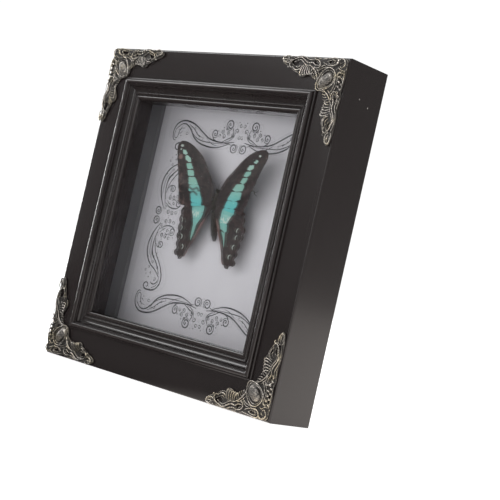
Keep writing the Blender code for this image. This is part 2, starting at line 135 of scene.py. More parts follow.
CORNER_STROKES = (
    (0.33, 1.72, ((8.6, 4.9), (6.9, 3.9), (5.4, 1.9), (3.4, 1.1), (1.5, 2.3), (2.0, 4.6), (3.4, 5.2),
                  (4.2, 4.2))),
    (0.28, 1.55, ((1.3, 6.6), (3.2, 6.4), (5.2, 5.4), (6.2, 6.4))),
    (0.26, 1.50, ((0.9, 8.4), (2.6, 7.8), (4.2, 7.4), (5.2, 8.8), (5.0, 10.4))),
    (0.24, 1.40, ((3.0, 2.9), (4.2, 3.0), (5.0, 3.9))),
)
CABOCHON_PLACE = 11.3
CABOCHON_RIMS = ((6.25, 4.45, 0.27, 1.75), (5.25, 3.6, 0.20, 1.45))
CABOCHON_DOME = (4.7, 3.05, 1.75)
DOME_HEIGHT = 0.9
EDGE_BEADS = (
    (9.5, 3.0, 0.58), (10.4, 1.5, 0.55), (11.8, 2.7, 0.58), (12.9, 1.4, 0.52), (14.0, 2.9, 0.56),
    (15.2, 1.4, 0.5), (16.6, 2.5, 0.52), (18.4, 1.4, 0.42), (7.8, 1.4, 0.45), (20.4, 1.8, 0.4),
)
BEAD_HEIGHT = 1.55
BEAD_SWELL = 1.18
PLATE_HALF = 0.4
CASTING_TOP = 2.88

# Printed border: half of each side's scrolls, from the middle of the card, in millimetres. A line has
# a width and its points, and a curl its middle, radius, width, first angle and number of turns.
PRINT_GAP = 0.004
LEVEL_LINES = (
    (0.44, ((48.3, 41.4), (49.8, 41.4), (51.3, 44.1), (50.7, 48.5), (47.8, 51.3), (43.9, 52.2), (39.2, 51.8),
            (34.1, 50.0), (28.6, 47.0), (23.3, 44.3), (17.6, 43.0), (11.9, 42.7), (7.6, 43.0), (3.7, 43.6))),
    (0.42, ((49.7, 47.4), (45.6, 50.3), (42.1, 50.2), (38.4, 47.8), (34.2, 43.5), (30.4, 41.5), (26.4, 40.3),
            (17.4, 39.6), (10.5, 41.2), (7.4, 42.4))),
    (0.25, ((38.6, 49.2), (35.8, 45.6), (29.4, 42.7), (21.8, 42.0), (11.9, 42.0))),
    (0.24, ((40.4, 50.6), (36.0, 48.4), (31.6, 45.2), (27.0, 43.8))),
    (0.24, ((49.7, 47.4), (50.2, 44.6), (48.9, 42.4), (47.5, 43.4), (47.3, 45.2), (45.8, 47.7),
            (43.0, 48.2))),
    (0.20, ((47.3, 45.2), (45.6, 45.4), (44.4, 46.6))),
    (0.20, ((47.9, 47.2), (46.4, 47.4), (45.4, 48.6))),
    (0.20, ((24.6, 44.0), (20.4, 41.6), (16.2, 40.6))),
)
LEVEL_CURLS = (
    (19.0, 47.0, 2.3, 0.34, 200, 1.5), (9.1, 52.2, 2.8, 0.38, 250, 1.6), (3.4, 49.3, 1.35, 0.22, 300, 1.2),
    (3.4, 40.4, 2.6, 0.34, 130, 1.6), (13.8, 48.5, 1.15, 0.22, 90, 1.2), (12.4, 46.0, 1.2, 0.22, 30, 1.2),
    (6.3, 46.7, 1.1, 0.22, 10, 1.2), (1.4, 52.4, 1.0, 0.22, 180, 1.1), (9.4, 48.0, 1.1, 0.22, 220, 1.2),
    (15.4, 46.2, 0.9, 0.2, 260, 1.0), (1.2, 46.0, 1.0, 0.2, 60, 1.1), (11.0, 50.2, 0.8, 0.2, 150, 1.0),
    (40.6, 45.7, 1.0, 0.2, 150, 1.1), (35.2, 48.3, 0.75, 0.18, 0, 1.0), (30.6, 44.6, 0.6, 0.16, 0, 1.0),
)
LEVEL_STEMS = (
    (0.30, ((21.0, 46.0), (19.2, 43.9), (15.1, 42.8))),
    (0.36, ((6.9, 50.8), (5.6, 48.0), (6.4, 46.0), (8.4, 45.1), (13.0, 42.9))),
    (0.24, ((4.6, 48.8), (4.8, 46.6), (7.4, 44.2), (10.6, 43.4))),
    (0.24, ((5.6, 41.6), (8.4, 42.6), (11.6, 41.8))),
)
UPRIGHT_LINES = (
    (0.44, ((44.9, 3.6), (47.9, 7.6), (50.3, 12.4), (50.8, 18.9), (47.2, 25.4), (41.2, 29.1), (37.2, 32.4))),
    (0.34, ((45.0, 6.0), (46.9, 12.6), (47.0, 19.0), (46.0, 22.4))),
    (0.42, ((46.1, 12.4), (45.0, 17.4), (42.4, 21.4), (39.2, 24.9), (36.4, 29.1), (35.1, 34.3), (36.9, 38.0),
            (40.2, 39.8), (43.3, 40.0), (46.4, 39.5), (47.5, 38.0), (46.3, 36.4), (44.3, 36.9), (44.3, 38.3),
            (45.5, 38.4))),
    (0.34, ((47.4, 16.4), (45.8, 21.0), (41.1, 25.7), (37.4, 31.3))),
    (0.20, ((48.8, 9.6), (49.0, 15.6), (48.2, 20.4), (45.2, 24.4))),
    (0.30, ((36.8, 32.0), (37.6, 35.0), (40.6, 36.6), (43.0, 35.6))),
    (0.20, ((36.4, 34.0), (38.2, 37.4), (41.4, 38.6))),
)
UPRIGHT_CURLS = (
    (49.0, 2.8, 2.4, 0.36, 140, 1.6), (41.4, 15.0, 2.0, 0.30, 300, 1.5), (34.9, 7.6, 2.1, 0.30, 20, 1.5),
    (42.4, 10.2, 1.2, 0.22, 60, 1.2), (39.2, 10.6, 1.2, 0.22, 200, 1.2), (41.4, 2.7, 1.2, 0.22, 90, 1.2),
    (38.4, 2.1, 1.2, 0.22, 10, 1.2), (43.8, 5.0, 0.9, 0.2, 250, 1.0), (38.6, 7.6, 0.9, 0.2, 160, 1.0),
    (35.3, 2.9, 1.0, 0.2, 110, 1.1), (44.5, 24.9, 0.85, 0.2, 330, 1.0), (39.9, 27.4, 0.7, 0.18, 10, 1.0),
    (44.6, 22.4, 0.7, 0.18, 120, 1.0), (39.9, 33.7, 1.0, 0.2, 10, 1.0), (46.5, 27.9, 0.7, 0.18, 40, 1.0),
    (48.4, 29.9, 0.7, 0.18, 200, 1.0), (44.4, 31.0, 0.7, 0.18, 70, 1.0), (36.6, 11.4, 0.9, 0.2, 200, 1.0),
)
UPRIGHT_STEMS = (
    (0.32, ((32.6, 6.6), (35.7, 4.9), (41.0, 5.2), (44.8, 7.2))),
    (0.26, ((40.6, 16.8), (43.6, 16.6), (45.7, 14.6))),
    (0.22, ((44.2, 8.8), (42.0, 7.2), (39.6, 5.8))),
    (0.20, ((36.8, 8.8), (38.4, 9.4), (40.4, 8.6))),
)
LEFT_REACH = 38.0
BORDER_DOTS = (
    (2.8, 54.0, 0.35), (13.2, 50.6, 0.35), (16.9, 48.6, 0.35), (37.2, 49.0, 0.35), (45.0, 43.9, 0.35),
    (27.6, 43.2, 0.3), (33.0, 46.6, 0.3), (7.8, 50.0, 0.3), (42.6, 20.2, 0.3), (48.6, 22.6, 0.35),
    (41.8, 12.4, 0.3), (45.8, 9.4, 0.3), (36.6, 9.6, 0.3), (42.2, 6.8, 0.3), (45.2, 33.4, 0.4),
    (47.6, 31.8, 0.3), (38.4, 30.4, 0.3), (38.0, 4.4, 0.3), (33.4, 10.6, 0.35), (40.0, 0.6, 0.3),
)

# Butterfly: s is the distance from the insect's middle line and z the height, in millimetres. The depths
# are counted from the frame's flat front.
FOREWING = {
    "depth": 17.3, "slope": -0.095, "root": ((1.5, 94.5), (1.8, 97.5), (1.6, 100.0)),
    "edge": (
        (4.6, 106.6), (9.3, 112.6), (14.8, 118.2), (21.6, 122.8), (27.6, 124.8), (31.7, 124.5),
        (33.3, 122.3), (32.8, 119.2), (31.0, 114.5), (29.2, 109.3), (27.4, 103.3), (25.6, 97.5),
        (23.6, 92.4), (18.5, 91.9), (12.0, 92.4), (6.0, 93.6),
    ),
    "veins": (
        ((2.0, 99.4), (9.4, 108.8), (16.4, 115.8), (24.4, 120.6), (31.0, 122.6)),
        ((2.0, 98.8), (8.0, 106.4), (14.6, 112.6), (21.0, 117.2), (26.6, 120.0), (32.8, 120.4)),
        ((21.0, 117.0), (25.4, 117.4), (32.2, 118.0)),
        ((14.4, 112.4), (18.4, 112.8), (24.4, 113.6), (30.8, 114.6)),
        ((13.0, 109.6), (17.0, 110.2), (23.4, 110.4), (29.8, 111.4)),
        ((2.0, 97.6), (7.4, 103.0), (11.8, 107.4), (16.0, 107.4), (22.0, 107.2), (28.6, 107.4)),
        ((7.4, 103.0), (12.6, 103.2), (19.8, 103.0), (27.2, 103.4)),
        ((2.0, 96.2), (7.0, 98.6), (12.0, 98.2), (19.0, 98.2), (26.0, 99.4)),
        ((2.0, 95.2), (8.0, 94.6), (16.6, 93.9), (24.2, 94.6)),
    ),
}
HINDWING = {
    "depth": 17.7, "slope": 0.055, "root": ((1.5, 91.8), (1.8, 94.2), (1.6, 96.3)),
    "edge": (
        (8.0, 97.4), (15.0, 97.0), (21.5, 94.6), (24.6, 90.6), (25.0, 86.2), (24.7, 81.6),
        (23.8, 76.6), (23.2, 72.6), (22.3, 70.0), (22.9, 67.8), (21.9, 65.9), (20.2, 65.9),
        (19.2, 64.3), (17.2, 64.3), (16.2, 65.5), (14.3, 65.9), (13.1, 68.0), (12.3, 70.8),
        (10.2, 74.6), (7.6, 79.4), (4.8, 85.2),
    ),
    "veins": (
        ((2.0, 95.4), (9.0, 95.0), (17.0, 93.6), (23.6, 91.2)),
        ((2.0, 94.6), (8.6, 92.8), (15.8, 90.0), (24.6, 87.4)),
        ((8.6, 92.8), (13.6, 88.2), (18.4, 84.6), (24.4, 82.4)),
        ((13.6, 88.2), (16.6, 82.6), (19.8, 79.0), (23.8, 77.6)),
        ((2.0, 93.6), (7.8, 89.2), (12.6, 83.0), (17.6, 76.2), (22.6, 72.6)),
        ((12.6, 83.0), (14.8, 76.6), (18.0, 70.6), (21.6, 67.4)),
        ((2.0, 92.8), (6.6, 87.2), (10.4, 80.8), (13.6, 74.0), (16.6, 66.4)),
        ((3.6, 90.6), (6.4, 84.6), (9.6, 78.4), (13.0, 70.4)),
    ),
}
BAND = {
    "forewing_right": (
        ((23.7, 118.1), (25.9, 119.8), (27.1, 119.0), (25.9, 117.5)),
        ((19.9, 114.3), (21.4, 116.6), (24.7, 116.9), (24.9, 115.3), (22.3, 113.9)),
        ((18.1, 110.8), (19.6, 113.2), (23.6, 113.6), (23.7, 112.1), (21.2, 110.5)),
        ((16.7, 107.5), (18.2, 110.0), (22.1, 110.3), (21.6, 108.3), (19.2, 106.7)),
        ((12.7, 103.3), (14.3, 106.3), (19.0, 106.8), (20.3, 106.1), (19.5, 103.5), (15.6, 102.8)),
        ((10.3, 98.1), (12.3, 102.3), (19.5, 102.6), (19.3, 99.2), (15.6, 97.8)),
        ((9.1, 94.1), (10.3, 97.6), (17.9, 97.7), (17.9, 95.2), (16.2, 94.0)),
        ((8.5, 90.3), (9.0, 93.8), (17.3, 93.8), (16.7, 91.2), (16.2, 90.2)),
    ),
    "hindwing_right": (
        ((6.6, 86.4), (6.6, 93.6), (16.0, 93.6), (13.4, 90.2), (12.8, 89.2), (11.5, 86.4)),
        ((6.8, 86.1), (11.3, 86.2), (12.1, 82.5), (10.6, 81.8), (10.1, 82.5), (8.2, 83.1)),
        ((8.9, 82.3), (10.3, 81.5), (11.2, 81.8), (13.2, 74.4), (12.0, 76.3), (10.6, 79.3)),
    ),
    "forewing_left": (
        ((28.9, 120.2), (26.9, 120.3), (24.9, 118.5), (26.0, 117.7), (28.1, 118.2)),
        ((26.2, 117.1), (24.7, 117.7), (22.4, 116.5), (21.7, 114.5), (23.3, 114.2), (25.6, 115.3)),
        ((24.5, 113.5), (21.5, 114.0), (19.4, 111.3), (21.0, 110.6), (23.3, 110.8)),
        ((22.9, 110.1), (18.8, 110.5), (17.2, 107.5), (21.5, 107.1)),
        ((20.9, 106.6), (16.3, 106.9), (13.3, 103.8), (16.5, 103.0), (19.7, 102.9)),
        ((18.9, 102.5), (13.0, 103.4), (11.5, 100.8), (12.4, 99.3), (18.3, 99.5)),
        ((16.9, 99.0), (11.5, 100.3), (9.2, 96.3), (8.7, 94.1), (15.1, 94.1)),
        ((14.8, 93.8), (8.5, 93.8), (7.2, 90.3), (13.8, 90.2)),
    ),
    "hindwing_left": (
        ((13.6, 86.4), (15.5, 90.1), (16.4, 93.6), (7.6, 93.6), (7.2, 90.0), (9.1, 89.9), (11.2, 86.6)),
        ((9.1, 89.6), (7.2, 89.6), (7.8, 86.9), (10.1, 83.3), (12.5, 83.1), (13.4, 86.1), (11.2, 86.3)),
        ((12.6, 82.7), (10.1, 83.1), (10.7, 79.3), (12.3, 74.6), (12.7, 78.3)),
    ),
}
PALE_SPOTS = {
    "forewing_right": ((27.3, 121.7, 0.85, 0.6),),
    "forewing_left": ((30.0, 122.3, 1.1, 0.7), (30.2, 120.4, 0.5, 0.5)),
}
CRESCENTS = {
    "hindwing_right": ((19.7, 83.9, 1.4), (20.0, 80.3, 1.4), (19.7, 75.3, 1.6), (18.5, 70.2, 1.5)),
    "hindwing_left": ((23.1, 84.4, 1.5), (22.0, 80.3, 1.5), (20.6, 75.8, 1.7), (17.7, 70.7, 1.6)),
}
SCRATCHES = {
    "forewing_left": (((18.6, 101.4), (16.0, 100.6), (13.4, 101.6), (12.2, 100.4)),
                      ((17.4, 98.6), (15.0, 99.6), (12.8, 98.4))),
}
SCAR_REACH = (0.38, 0.8)
WORN_PATCH = (29.3, 116.6)
VEIN_WIDTH = 0.22
VEIN_RISE = 0.07
LINE_STEP = 0.3
ROW_SHARE = 0.866
GRID_JITTER = 0.06
THORAX = ((18.7, THORAX_Z), (1.75, 2.0, 5.2))
HEAD = ((18.4, 101.7), (1.1, 1.1, 1.1))
EYES = ((18.2, 102.1), (0.62, 0.62, 0.66))
EYE_APART = 0.86
PALPS = ((0.35, 17.7, 101.2, 1.0), (0.5, 17.2, 102.4, 0.8), (0.4, 17.3, 103.2, 0.3))
PALP_RADIUS = 0.28
BODY_DETAIL = 0.16
ABDOMEN_TOP = 91.5
RING_PITCH = 1.9
RING_DEPTH = 0.07
HAIR_COUNT = 2600
HAIR_LENGTH = 1.0
HAIR_RADIUS = 0.035
HAIR_SEED = 7
ANTENNA_RADIUS = 0.13
LEG_RADIUS = 0.2
LOOSE_LEG = (
    ((26.6, 14.5, 103.6), (28.4, 14.3, 104.2), (30.2, 14.4, 103.6), (31.6, 14.7, 104.8)),
    ((28.9, 14.3, 104.0), (30.0, 14.3, 102.6), (31.3, 14.5, 101.9)),
)
ABDOMEN = (
    (0.0, 19.7, 93.4, 1.5), (0.3, 19.9, 89.2, 1.85), (0.9, 20.2, 84.6, 1.8),
    (1.6, 20.8, 80.2, 1.5), (2.2, 21.4, 76.8, 0.7),
)
ANTENNAE = (
    ((-0.4, 17.5, 102.4), (-1.2, 16.9, 104.2), (-2.6, 16.5, 105.6), (-3.6, 16.3, 106.0)),
    ((0.4, 17.5, 102.4), (1.2, 16.9, 104.0), (2.0, 16.5, 105.8), (3.4, 16.3, 106.8)),
)

# The photograph's camera, in metres
CAMERA_PLACE = (0.47667, -0.44835, 0.05454)
CAMERA_RIGHT = (0.70086, 0.67771, 0.22248)
CAMERA_UP = (-0.13619, -0.17903, 0.97437)
CAMERA_BACK = (0.70017, -0.71320, -0.03318)
CAMERA_LENS = 93.71
SENSOR_WIDTH = 36.0

# Studio: each light's place and size, in metres. The gloss lights have a share of the gloss power.
LIGHTS_LOOK_AT = (0, 0, 0.085)
KEY_LIGHT = ("key_light", (-0.85, -0.80, 0.14), (0.90, 0.26))
FILL_LIGHT = ("fill_light", (1.1, -0.9, 0.35), (0.8, 0.8))
GLOSS_LIGHTS = (
    ("gloss_left", (-1.0, 0.05, 0.26), (0.30, 0.55), 1.0),
    ("gloss_front", (0.02, -1.15, 0.22), (0.16, 0.60), 0.22),
    ("gloss_top", (-0.80, -0.46, 0.78), (0.42, 0.42), 0.40),
    ("gloss_key", (-0.45, -1.00, 0.62), (0.60, 0.55), 0.97),
)
FLOOR_RADIUS = 14.0
FLOOR_DROP = 0.0002
# How bright the floor is to the camera, as light on the frame, and in gloss before and behind the frame
FLOOR_SEEN, FLOOR_LIGHT, FLOOR_MIRRORED, FLOOR_BEHIND = 0.57, 0.48, 0.006, 0.9
BEHIND_FRAME = (-0.04, 0.08)
MIRRORED_FLOOR_TINT = (1, 0.92, 0.86)
SKY_SEEN = 1.05


def colour_field(name, default, description):
    """A colour that a user may change."""
    return bpy.props.FloatVectorProperty(
        name=name, description=description, default=default, subtype="COLOR", size=3, min=0, max=1,
    )


def share_field(name, default, description):
    """A share between 0 and 1 that a user may change."""
    return bpy.props.FloatProperty(
        name=name, description=description, default=default, min=0, max=1, subtype="FACTOR",
    )


def length_field(name, default, description):
    """A small length, in metres, that a user may change."""
    return bpy.props.FloatProperty(
        name=name, description=description, default=default, min=0, precision=5, unit="LENGTH",
    )


def light_field(name, default, description, unit="NONE"):
    """A light's power, or a plain strength, that a user may change."""
    return bpy.props.FloatProperty(name=name, description=description, default=default, min=0, unit=unit)


class FrameSettings(bpy.types.PropertyGroup):
    """Sizes and colours of the moulding and its cast corners."""

    paint: colour_field("Paint", (0.0172, 0.0130, 0.0126), "Black-brown paint of the moulding")
    rubbed: colour_field("Rubbed paint", (0.036, 0.029, 0.028), "Paint where the beads are rubbed")
    gloss: share_field("Roughness", 0.25, "Roughness of the paint")
    metal: colour_field("Metal", (0.43, 0.40, 0.365), "Bright grey metal on the ridges")
    brass: colour_field("Brass", (0.46, 0.395, 0.27), "Yellower metal where the finish is worn")
    patina: colour_field("Patina", (0.024, 0.020, 0.017), "Dark finish left in the hollows")
    voxel: length_field("Casting detail", 0.19 * MM, "Size of the smallest shape in the castings")


class BoxSettings(bpy.types.PropertyGroup):
    """Colours of what lies behind the glass, and of the back."""

    card: colour_field("Card", (0.605, 0.572, 0.618), "Lilac white card")
    ink: colour_field("Ink", (0.008, 0.007, 0.009), "Ink of the printed border")
    ink_depth: length_field("Ink film", 0.012 * MM, "Thickness of the ink on the card")
    lining: colour_field("Lining", (0.110, 0.106, 0.111), "Dark grey strips round the inside")
    board: colour_field("Back board", (0.23, 0.145, 0.080), "Hard fibreboard")
    zinc: colour_field("Zinc", (0.47, 0.46, 0.45), "Tabs and hanger")


class InsectSettings(bpy.types.PropertyGroup):
    """Colours and sizes of the butterfly."""

    ground: colour_field("Ground", (0.026, 0.0195, 0.0205), "Brown-black of the wings")
    worn: colour_field("Worn scales", (0.20, 0.115, 0.108), "Reddish brown of worn wing scales")
    blue: colour_field("Band near the body", (0.098, 0.420, 0.430), "Blue-green of the band's broad end")
    green: colour_field("Band near the tip", (0.220, 0.400, 0.345), "Paler green of the band's small spots")
    pale: colour_field("Pale spots", (0.55, 0.60, 0.56), "Whitish spots")
    body: colour_field("Body", (0.040, 0.034, 0.031), "Body and its hair")
    wing_thickness: length_field("Wing thickness", 0.14 * MM, "Thickness of a wing")
    mesh_step: length_field("Wing mesh", 0.42 * MM, "Distance between points of the wing's mesh")


class StageSettings(bpy.types.PropertyGroup):
    """The studio round the specimen."""

    floor: colour_field("Floor", (0.86, 0.86, 0.86), "Plain pale floor")
    key_power: light_field("Key light", 2.6, "Power of the soft light at the left", "POWER")
    fill_power: light_field("Fill light", 0.6, "Power of the soft light at the right", "POWER")
    gloss_power: light_field("Gloss light", 7.0, "Power of the lights that only shine in gloss", "POWER")
    ambient: light_field("Ambient", 0.68, "Strength of the even light all round")
    gloss_ambient: light_field("Gloss ambient", 0.24, "Strength of what gloss mirrors all round")


class Number:
    """A number that changes over a surface, so that shader sums read as plain expressions."""

    def __init__(self, tree, socket):
        self.tree = tree
        self.socket = socket

    def maths(self, operation, *values, clamp=False):
        """A Math node on numbers or plain values."""
        node = self.tree.nodes.new("ShaderNodeMath")
        node.operation = operation
        node.use_clamp = clamp
        for socket, value in zip(node.inputs, values):
            if isinstance(value, Number):
                self.tree.links.new(value.socket, socket)
            else:
                socket.default_value = value
        return Number(self.tree, node.outputs[0])

    def __add__(self, other):
        return self.maths("ADD", self, other)

    def __radd__(self, other):
        return self.maths("ADD", other, self)

    def __sub__(self, other):
        return self.maths("SUBTRACT", self, other)

    def __rsub__(self, other):
        return self.maths("SUBTRACT", other, self)

    def __mul__(self, other):
        return self.maths("MULTIPLY", self, other)

    def __rmul__(self, other):
        return self.maths("MULTIPLY", other, self)

    def clamped(self):
        """The number held between 0 and 1."""
        return self.maths("ADD", self, 0.0, clamp=True)


class Finish:
    """A material being made: its nodes, and the Principled shader that they feed."""

    def __init__(self, name, **constants):
        self.material = bpy.data.materials.new(name)
        self.material.use_nodes = True
        self.tree = self.material.node_tree
        self.shader = self.tree.nodes["Principled BSDF"]
        self.output = self.tree.nodes["Material Output"]
        for words, value in constants.items():
            self.shader.inputs[words.replace("_", " ")].default_value = value

    def node(self, kind, settings=None, inputs=None):
        """Any node, from its type, its settings and what its sockets are given."""
        made = self.tree.nodes.new("ShaderNode" + kind)
        for name, value in (settings or {}).items():
            setattr(made, name, value)
        for name, value in (inputs or {}).items():
            self.feed(made.inputs[name], value)
        return made

    def feed(self, socket, value):
        """Link or set one socket."""
        if isinstance(value, Number):
            self.tree.links.new(value.socket, socket)
        elif isinstance(value, bpy.types.NodeSocket):
            self.tree.links.new(value, socket)
        elif isinstance(value, (int, float)):
            socket.default_value = value
        elif len(value) == 3 and len(socket.default_value) == 4:
            socket.default_value = (*value, 1)
        else:
            socket.default_value = value

    def place(self, scale=(1, 1, 1), source="Object"):
        """Object or UV coordinates, stretched by a Mapping node."""
        coordinates = self.node("TexCoord").outputs[source]
        return self.node("Mapping", None, {"Vector": coordinates, "Scale": scale}).outputs["Vector"]

    def grain(self, vector, scale, detail=4.0, roughness=0.55):
        """Noise as a number between 0 and 1."""
        made = self.node("TexNoise", None, {
            "Vector": vector, "Scale": scale, "Detail": detail, "Roughness": roughness,
        })
        return Number(self.tree, made.outputs["Fac"])

    def cells(self, vector, scale):
        """Distance to the nearest Voronoi point."""
        made = self.node("TexVoronoi", {"feature": "F1"}, {"Vector": vector, "Scale": scale})
        return Number(self.tree, made.outputs["Distance"])

    def stored(self, name):
        """A number kept on the mesh."""
        return Number(self.tree, self.node("Attribute", {"attribute_name": name}).outputs["Fac"])

    def step(self, number, low, high):
        """0 below low, 1 above high, and smooth between them."""
        made = self.node("MapRange", {"interpolation_type": "SMOOTHSTEP"}, {
            "Value": number, "From Min": low, "From Max": high,
        })
        return Number(self.tree, made.outputs["Result"])

    def mixed(self, share, first, second):
        """A colour between two colours."""
        made = self.node("Mix", {"data_type": "RGBA"})
        self.feed(made.inputs["Factor"], share)
        self.feed(made.inputs[6], first)
        self.feed(made.inputs[7], second)
        return made.outputs[2]

    def bumped(self, height, distance, strength=1.0):
        """Relief from a number, fed to the shader's normal."""
        made = self.node("Bump", None, {"Height": height, "Distance": distance, "Strength": strength})
        self.feed(self.shader.inputs["Normal"], made.outputs["Normal"])

    def give(self, **sockets):
        """Feed what changes over the surface into the shader."""
        for words, value in sockets.items():
            self.feed(self.shader.inputs[words.replace("_", " ")], value)
        return self.material


def only(obj):
    """Select one object alone and make it active."""
    bpy.ops.object.select_all(action="DESELECT")
    obj.select_set(True)
    bpy.context.view_layer.objects.active = obj
    return obj


def linked(name, data):
    """A new object in the scene that shows a mesh, a curve, a light or a camera."""
    obj = bpy.data.objects.new(name, data)
    bpy.context.scene.collection.objects.link(obj)
    return obj


def face_outwards(obj):
    """Turn all faces of a mesh outwards."""
    only(obj)
    bpy.ops.object.mode_set(mode="EDIT")
    bpy.ops.mesh.select_all(action="SELECT")
    bpy.ops.mesh.normals_make_consistent(inside=False)
    bpy.ops.object.mode_set(mode="OBJECT")


def apply_modifier(obj, kind, **settings):
    """Add a modifier, set it and apply it."""
    only(obj)
    modifier = obj.modifiers.new(kind.lower(), kind)
    for name, value in settings.items():
        setattr(modifier, name, value)
    bpy.ops.object.modifier_apply(modifier=modifier.name)


def as_mesh(obj):
    """Turn a curve into a mesh with its place in the mesh."""
    only(obj)
    bpy.ops.object.convert(target="MESH")
    made = bpy.context.object
    bpy.ops.object.transform_apply(location=True, rotation=True, scale=True)
    return made


def joined(parts, name):
    """One object from several."""
    only(parts[0])
    for part in parts:
        part.select_set(True)
    bpy.ops.object.join()
    made = bpy.context.object
    made.name = name
    made.data.name = name
    return made


def finished(obj, name, slot, finish, *nodes, angle=60.0):
    """Name a piece, give it its material and smooth shading, and let it ride and stand for nodes."""
    obj.name = name
    obj.data.name = name
    obj.data.materials.clear()
    obj.data.materials.append(finish)
    only(obj)
    bpy.ops.object.shade_smooth_by_angle(angle=math.radians(angle))
    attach(obj, "root")
    if nodes:
        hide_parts(*nodes)
    return obj


def dress(node, finish):
    """Put a material on a CAD node that keeps its shape."""
    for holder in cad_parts[node].material_slots:
        holder.material = finish


def bezier(data, points, cyclic):
    """A smooth line through points in a curve."""
    spline = data.splines.new("BEZIER")
    spline.bezier_points.add(len(points) - 1)
    for point, place in zip(spline.bezier_points, points):
        point.co = place[:3]
        point.radius = place[3] if len(place) > 3 else 1.0
        point.handle_left_type = "AUTO"
        point.handle_right_type = "AUTO"
    spline.use_cyclic_u = cyclic


def stroke(points, radius, cyclic=False, steps=6, sides=2):
    """A round tube through smooth points, each (x, y, z) or (x, y, z, share of the radius)."""
    data = bpy.data.curves.new("stroke", "CURVE")
    data.dimensions = "3D"
    data.bevel_depth = radius
    data.bevel_resolution = sides
    data.resolution_u = steps
    data.use_fill_caps = not cyclic
    bezier(data, points, cyclic)
    return as_mesh(linked("stroke", data))


def tapered(points, height, ends=0.55):
    """Points in a plane given a height, thinner at both ends."""
    last = len(points) - 1
    made = []
    for index, (a, b) in enumerate(points):
        share = min(1.0, ends + (1 - ends) * 2.2 * min(index, last - index) / max(last, 1))
        made.append((a * MM, b * MM, (height - 0.25 * (1 - share)) * MM, share))
    return made


def spiral(centre, radius, start, turns, steps=14):
    """Points that wind inwards round a centre."""
    points = []
    count = int(steps * turns)
    for step in range(count + 1):
        share = step / count
        angle = math.radians(start) + 2 * math.pi * turns * share
        reach = radius * (1 - 0.72 * share ** 1.5)
        points.append((centre[0] + reach * math.cos(angle), centre[1] + reach * math.sin(angle)))
    return points


def smooth_step(value, low, high):
    """0 below low, 1 above high, and smooth between them."""
    share = min(1.0, max(0.0, (value - low) / (high - low)))
    return share * share * (3 - 2 * share)


def store(mesh, name, values, domain="POINT"):
    """Keep one number for each vertex, or for each face."""
    layer = mesh.attributes.new(name, "FLOAT", domain)
    layer.data.foreach_set("value", values)


def arc(centre, radius, start, end, steps):
    """Points on an arc, with its angles in degrees."""
    angles = [math.radians(start + (end - start) * step / steps) for step in range(steps + 1)]
    return [(centre[0] + radius * math.cos(a), centre[1] + radius * math.sin(a)) for a in angles]


def moulding_section():
    """The rail's outline: edge, flat border, roll and crest, cove, bead, lip and rebate."""
    outline = arc((1.0, -1.0), 1.0, 180, 90, 8) + [(8.0, 0.0), (15.9, 0.0)]
    outline += arc((16.6, 0.45), 0.7, 180, 45, 8) + arc((18.2, 1.55), 1.25, 180, 0, 22) + [(20.1, 1.45)]
    outline += arc((22.9, 1.2), 2.7, 180, 270, 14) + arc((23.6, -1.5), 0.55, 180, 0, 12)
    outline += arc((25.8, -2.5), 1.5, 145, 0, 14)
    outline += [(27.3, -11.0), (27.0, -11.3), (22.5, -11.3), (22.5, -27.7), (22.2, -28.0)]
    outline += [(0.6, -28.0), (0.0, -27.4)]
    return outline


def side_turn(turn):
    """Turns what is laid out on the lower side to one of the four sides, by quarter turns."""
    return Matrix.Translation(FRAME_CENTRE) @ Matrix.Rotation(turn * math.pi / 2, 4, "Y")


def rubbed_share(u, v):
    """How much the paint is rubbed where the moulding is touched most."""
    crest = smooth_step(v, 2.3, 2.8)
    bead = smooth_step(v, -1.15, -0.96) * smooth_step(u, 22.9, 23.3) * (1 - smooth_step(u, 24.1, 24.4))
    lip = smooth_step(v, -1.3, -1.0) * smooth_step(u, 24.6, 25.2)
    edge = (1 - smooth_step(u, 0.1, 1.0)) * smooth_step(v, -1.2, -0.2)
    return max(crest, bead, lip, 0.3 * edge)


def dusty_share(u, v):
    """How much dust lies in the cove and on the small bead."""
    return smooth_step(u, 20.0, 21.0) * (1 - smooth_step(u, 24.6, 25.4)) * smooth_step(v, -2.0, -1.4)


def painted_wood(settings):
    """Satin black-brown paint over close grain, rubbed lighter on the beads and dusty in the cove."""
    finish = Finish("black_wood_paint", Coat_Weight=0.65, Coat_Roughness=0.11, Specular_IOR_Level=0.15)
    along = finish.place((1, 1, 1), "UV")
    streak = finish.grain(finish.place((7, 420, 1), "UV"), 3.0, 5.0, 0.6)
    pores = finish.grain(finish.place((50, 1900, 1), "UV"), 3.0, 3.0, 0.6)
    cloud = finish.grain(along, 26.0, 4.0)
    speck = finish.grain(along, 900.0, 2.0)
    rub = finish.stored("rub")
    worn = finish.step(rub * 0.75 + cloud * 0.35 + streak * 0.08, 0.66, 1.15)
    dust = finish.stored("dust") * finish.step(cloud + speck * 0.4, 0.5, 0.95)
    shade = finish.mixed(finish.step(streak, 0.35, 0.75) * 0.4, settings.paint, (0.022, 0.017, 0.0165))
    shade = finish.mixed(worn, shade, settings.rubbed)
    shade = finish.mixed(dust * 0.12, shade, (0.07, 0.066, 0.062))
    for nick, size in NICKS:
        distance = finish.node("VectorMath", {"operation": "DISTANCE"}, {0: finish.place(), 1: nick})
        away = Number(finish.tree, distance.outputs["Value"]) + (speck - 0.5) * 0.0003
        shade = finish.mixed(1 - finish.step(away, 0.6 * size, size), shade, (0.34, 0.32, 0.30))
    rough = settings.gloss + (cloud - 0.5) * 0.08 + dust * 0.08 + (streak - 0.5) * 0.04 - rub * 0.06
    finish.bumped(streak * 0.5 + pores * 0.4 + speck * 0.1, 0.000005, 0.16)
    return finish.give(Base_Color=shade, Roughness=rough.clamped())


